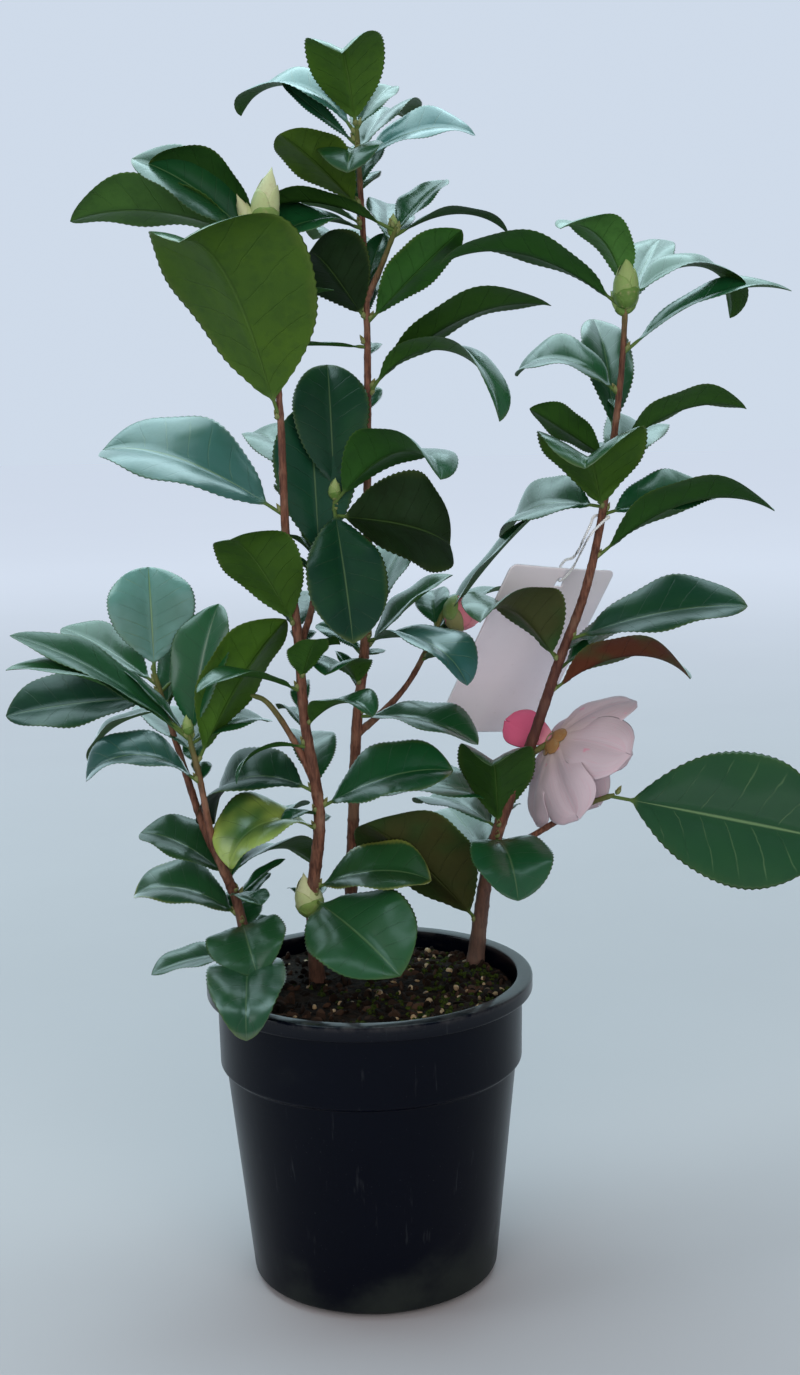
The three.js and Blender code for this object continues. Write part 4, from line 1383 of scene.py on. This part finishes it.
class Shells:
    """Curved patches that are gathered for one piece, each with its own tint."""

    def __init__(self):
        self.verts = []
        self.faces = []
        self.tints = []

    def add(self, grid, tint):
        rows, columns, _ = grid.shape
        start = len(self.verts)
        self.verts += (grid.reshape(-1, 3) * MM).tolist()
        self.tints += [tint] * (rows * columns)
        for row in range(rows - 1):
            for column in range(columns - 1):
                corner = start + row * columns + column
                self.faces.append((corner, corner + 1, corner + columns + 1, corner + columns))

    def mesh(self, name):
        mesh = bpy.data.meshes.new(name)
        mesh.from_pydata(self.verts, [], self.faces)
        layer = mesh.attributes.new("tint", "FLOAT_VECTOR", "POINT")
        layer.data.foreach_set("vector", np.array(self.tints, np.float32).ravel())
        mesh.shade_smooth()
        return mesh


def curved(direction, cells, middle, place_at):
    """A patch about a direction. From the share up, place_at gives its centre, radius and half opening."""
    axis = unit(direction)
    side = unit(np.cross(axis, (0.3, 1, 0.2)))
    front = np.cross(axis, side)
    rows, columns = cells
    grid = np.zeros((rows + 1, columns + 1, 3))
    for row in range(rows + 1):
        centre, radius, opening = place_at(axis, row / rows)
        for column in range(columns + 1):
            turn = middle + opening * (2 * column / columns - 1)
            grid[row, column] = centre + (side * math.cos(turn) + front * math.sin(turn)) * radius
    return grid


def bud_scales(shells, root, direction, length, radius, tints, scales=7, cells=(12, 14)):
    """Scales that wrap round a bud, each a turn on from the last and reaching higher."""
    for scale in range(scales):
        share = scale / (scales - 1)
        top = 0.34 + 0.66 * share
        shell = 1.04 - 0.10 * share
        spread = math.radians(bud_spread - 20 * share)

        def place_at(axis, up):
            height = top * up
            swell = np.interp(height, bud_heights, bud_swells) * radius * shell + 0.25 * up * (1 - share)
            opening = spread * math.sqrt(max(0, 1 - up**3.2)) + 0.05
            return root + axis * height * length, max(swell, 0.12), opening

        grid = curved(direction, cells, math.radians(bud_turn * scale), place_at)
        low, high = (tints[0], tints[1]) if share < 0.5 else (tints[1], tints[2])
        shells.add(grid, np.array(low) * (1 - share) + np.array(high) * share)


def bud_scale(tree):
    place = tree.place()
    streak = tree.noise(place, 420.0, 4.0, 0.7)
    tint = attribute(tree, "tint", "Color")
    return {
        "Base Color": tree.blend(tree.within(streak, 0.5, 0.75) * 0.5, tint, (0.42, 0.34, 0.18)),
        "Roughness": 0.5 + streak * 0.15,
        "Normal": tree.bump(streak, 0.4, 0.0005),
    }


def shelled(name, shells, thickness, material):
    """The gathered patches, given a wall and worked out to a plain mesh."""
    holder = piece_of(name, shells.mesh(name), [])
    wall = holder.modifiers.new("wall", "SOLIDIFY")
    wall.thickness = thickness
    wall.offset = 0
    return piece_of(name, finished(holder), [material])


buds = Shells()
for mass, rows in bud_rows.items():
    for height, heading, rise, length, radius in rows:
        course = shoots[shoot_of[mass]]
        root = course.at(course.share_at(height))
        tints = bud_tints[bud_kind.get(mass, "green")]
        bud_scales(buds, root, direction_of(heading, rise), length, radius, tints)
for mass, name in shoot_of.items():
    for height, heading, *_ in leaf_rows[mass]:
        course = shoots[name]
        share = course.share_at(height + axil_lift)
        outwards = direction_of(heading, 0)
        root = course.at(share) + outwards * course.radius_at(share) * 0.7
        upwards = unit(outwards * 0.55 + (0, 0, 1))
        bud_scales(buds, root, upwards, axil_length, axil_radius, bud_tints["axil"], 3, (5, 7))
bud_piece = shelled("buds", buds, scale_thickness * MM, surface("bud_scale", bud_scale))
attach(bud_piece, "root")

# Flower: a half-double bloom that faces down to the right, of thin blush petals with notched tips, held by
# silky grey-green sepals and a few brown scales.
petal_steps = 24
petal_thickness = 0.3
petal_root = 1.6
pink_petal = 10
sepal_rings = [(5, 6.0, 0.0, 0, (0.30, 0.33, 0.20)), (4, 4.0, 0.5, 20, (0.34, 0.17, 0.06))]
sepal_turn = 72
sepal_opening = 44
sepal_foot = 2.5
sepal_radius = 2.2
sepal_flare = 7.0
sepal_thickness = 0.5
sepal_cells = (8, 10)


def blush_petal(tree):
    flat = tree.node("ShaderNodeUVMap", {"uv_map": "UVMap"})["UV"]
    parts = tree.parts(flat)
    streak = tree.noise(tree.stretched(flat, (26.0, 1.6, 1.0)), 1.0, 4.0, 0.6)
    place = tree.place()
    cloud = tree.noise(place, 60.0, 3.0)
    root = 1 - tree.within(parts["Y"], 0.05, 0.5)
    colour = tree.blend(tree.within(streak, 0.5, 0.72) * 0.35, (0.62, 0.49, 0.54), (0.68, 0.34, 0.42))
    colour = tree.blend(root * 0.45, colour, (0.66, 0.50, 0.36))
    spot = tree.within(tree.noise(place, 150.0, 1.0), 0.70, 0.76)
    colour = tree.blend(spot * 0.6, colour, (0.80, 0.22, 0.36))
    deep = tree.blend(root, (0.80, 0.10, 0.24), (0.80, 0.30, 0.38))
    colour = tree.blend(attribute(tree, "flush"), colour, deep)
    return {
        "Base Color": tree.blend(tree.within(cloud, 0.55, 0.75) * 0.25, colour, (0.66, 0.44, 0.50)),
        "Roughness": 0.6,
        "Specular IOR Level": 0.3,
        "Normal": tree.bump(streak + cloud, 0.35, 0.0008),
    }


flower = Blades()
petal_shares = np.linspace(0, 1, petal_steps + 1)
petal_chance = Chance(41)
for index, (width, _, course) in enumerate(petals()):
    swell = petal_shares**0.62 * (1 - petal_shares**7) ** 0.6
    half = np.maximum(petal_root * (1 - petal_shares), width * 0.56 * swell)
    thick = np.full(len(petal_shares), petal_thickness)
    facts = {"seed": petal_chance.between(0, 1), "flush": 0.9 if index == pink_petal else 0.0, "fold": 0.10}
    flower.add(course, np.maximum(half, petal_thickness), thick, facts)
petal_values = {
    "Sides": 24, "Teeth": 1.0, "Tooth depth": 0.0, "Arch": -0.5, "Waves": 1.7, "Ripple": 0.10,
    "Quilt": 0.0, "Ridge": 0.0, "Notch": 3.5 * MM, "Material": surface("blush_petal", blush_petal),
}
bloom = grown("petals", threads("lines", flower.lines, flower.readings), blade_shape, petal_values)
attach(bloom, "root")
sepals = Shells()
for count, reach, swell, offset, tint in sepal_rings:
    for sepal in range(count):

        def place_at(axis, up):
            opening = math.radians(sepal_opening) * math.sqrt(max(0.02, 1 - up**2.5))
            out = sepal_radius + sepal_flare * up**0.7 + swell
            return flower_foot + axis * (reach * up - sepal_foot), out, opening

        middle = math.radians(sepal_turn * sepal + offset)
        sepals.add(curved(flower_axis, sepal_cells, middle, place_at), tint)
sepal_piece = shelled("sepals", sepals, sepal_thickness * MM, surface("silky_sepal", bud_scale))
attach(sepal_piece, "root")

# Care label: a stiff white plastic tag with rounded corners and a punched hole, left blank, that hangs
# turned away behind the right stem.
label_hole_radius = 2.6
label_hole_inset = 8
label_hole_cleared = 3.2
label_hole_reach = 4.6
label_corner_cut = 2.4
label_columns = 24
label_rows = 36
label_bow = 1.2
hole_y = label_length / 2 - label_hole_inset


def label_point(x, y, out):
    return (label_place + label_across * x + label_up * y + label_front * out) * MM


label_verts = []
for row in range(label_rows + 1):
    for column in range(label_columns + 1):
        x = (column / label_columns - 0.5) * label_width
        y = (row / label_rows - 0.5) * label_length
        if column in (0, label_columns) and row in (0, label_rows):
            x *= 1 - label_corner_cut / label_width
            y *= 1 - label_corner_cut / label_length
        label_verts.append([x, y])
label_faces = []
for row in range(label_rows):
    for column in range(label_columns):
        corner = row * (label_columns + 1) + column
        face = (corner, corner + 1, corner + label_columns + 2, corner + label_columns + 1)
        centre = np.mean([label_verts[index] for index in face], axis=0)
        if math.hypot(centre[0], centre[1] - hole_y) > label_hole_cleared:
            label_faces.append(face)
for vert in label_verts:
    far = math.hypot(vert[0], vert[1] - hole_y)
    if 0.01 < far < label_hole_reach:
        vert[0] *= label_hole_radius / far
        vert[1] = hole_y + (vert[1] - hole_y) * label_hole_radius / far
bowed = []
for x, y in label_verts:
    out = label_thickness / 2 - label_bow * (2 * x / label_width) ** 2 + label_bow * 0.5
    bowed.append(label_point(x, y, out))
label_mesh = bpy.data.meshes.new("label_plate")
label_mesh.from_pydata(bowed, [], label_faces)
label_mesh.shade_smooth()


def white_tag(tree):
    place = tree.place()
    cloud = tree.noise(place, 30.0, 4.0, 0.6)
    scratch = tree.within(tree.noise(place, 260.0, 2.0, 0.5), 0.66, 0.8)
    grime = tree.within(cloud, 0.5, 0.78)
    white = tree.blend(grime * 0.35, (0.98, 0.90, 0.96), (0.88, 0.77, 0.85))
    return {
        "Base Color": tree.blend(scratch * 0.15, white, (0.5, 0.46, 0.42)),
        "Roughness": 0.34 + cloud * 0.15,
        "Normal": tree.bump(cloud, 0.15, 0.0008),
    }


label_holder = piece_of("label_plate", label_mesh, [])
label_holder.modifiers.new("curve", "SUBSURF").levels = 2
label_holder.modifiers["curve"].render_levels = 2
label_wall = label_holder.modifiers.new("wall", "SOLIDIFY")
label_wall.thickness = label_thickness * MM
label_wall.offset = 0
label_wall.use_rim = True
label_plate = piece_of("label_plate", finished(label_holder), [surface("white_tag", white_tag)])
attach(label_plate, "root")
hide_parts("care_label")

# Loop: a white cotton thread, twisted of two plies, that runs through the label's hole and round the stem.
# Its line starts and ends in the hole, so that no loose end shows.
loop_height = 394
loop_stem_radius = 3.8
loop_radius = 0.85
loop_steps = 320
hang = shoots["right"].at(shoots["right"].share_at(loop_height))
hole_place = label_place + label_up * hole_y + label_front * label_thickness / 2
from_hole = [(0, 0), (3, 4), (5, 12)]
round_stem = [
    (-1.6, -1.5, -2), (0.2, -1, -0.3), (1, 0.1, 0.2), (-0.1, 1, 0.4), (-1, 0.3, 0.2), (-1.5, -0.6, -0.7),
    (-2.2, -0.9, -2),
]
to_hole = [(2, 16), (-2.5, 11), (-3.5, 5)]


def by_the_hole(places):
    return [hole_place + label_front * out + label_up * up for out, up in places]


loop_places = by_the_hole(from_hole)
loop_places += [hang + np.array(place) * loop_stem_radius for place in round_stem]
loop_places += by_the_hole(to_hole)
overlap = len(to_hole)
loop_course = Course(1, 1, loop_places[-overlap:] + loop_places + loop_places[:overlap])
loop_spans = len(loop_places) + 2 * overlap - 1
loop_ends = (overlap / loop_spans, (overlap + len(loop_places)) / loop_spans)
loop_line = [loop_course.at_turn(turn) for turn in np.linspace(*loop_ends, loop_steps)]


def twisted(tree, given):
    """A cord of two plies along the line."""
    length = tree.node("GeometryNodeSplineParameter")["Length"]
    values = {"Curve": line_of(tree, given), "Tilt": length * given["Twist"]}
    line = tree.node("GeometryNodeSetCurveTilt", None, values)["Curve"]
    values = {"Geometry": ring_of(tree, 12, given["Thickness"]), "Scale": (1.0, 0.55, 1.0)}
    return ring_along(tree, line, tree.node("GeometryNodeTransform", None, values)["Geometry"])


def cotton_thread(tree):
    fibre = tree.noise(tree.place(), 2400.0, 2.0, 0.6)
    return {
        "Base Color": tree.blend(fibre, (0.86, 0.86, 0.87), (0.96, 0.96, 0.97)),
        "Roughness": 0.8,
        "Normal": tree.bump(fibre, 0.5, 0.0003),
    }


thread_finish = surface("cotton_thread", cotton_thread)
twist_values = {"Twist": 2600.0, "Thickness": loop_radius * MM, "Material": thread_finish}
loop_lines = threads("loop", [np.array(loop_line)], {})
loop = grown("label_thread", loop_lines, shape("twisted", twist_values, twisted), twist_values)
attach(loop, "root")
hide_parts("label_loop")
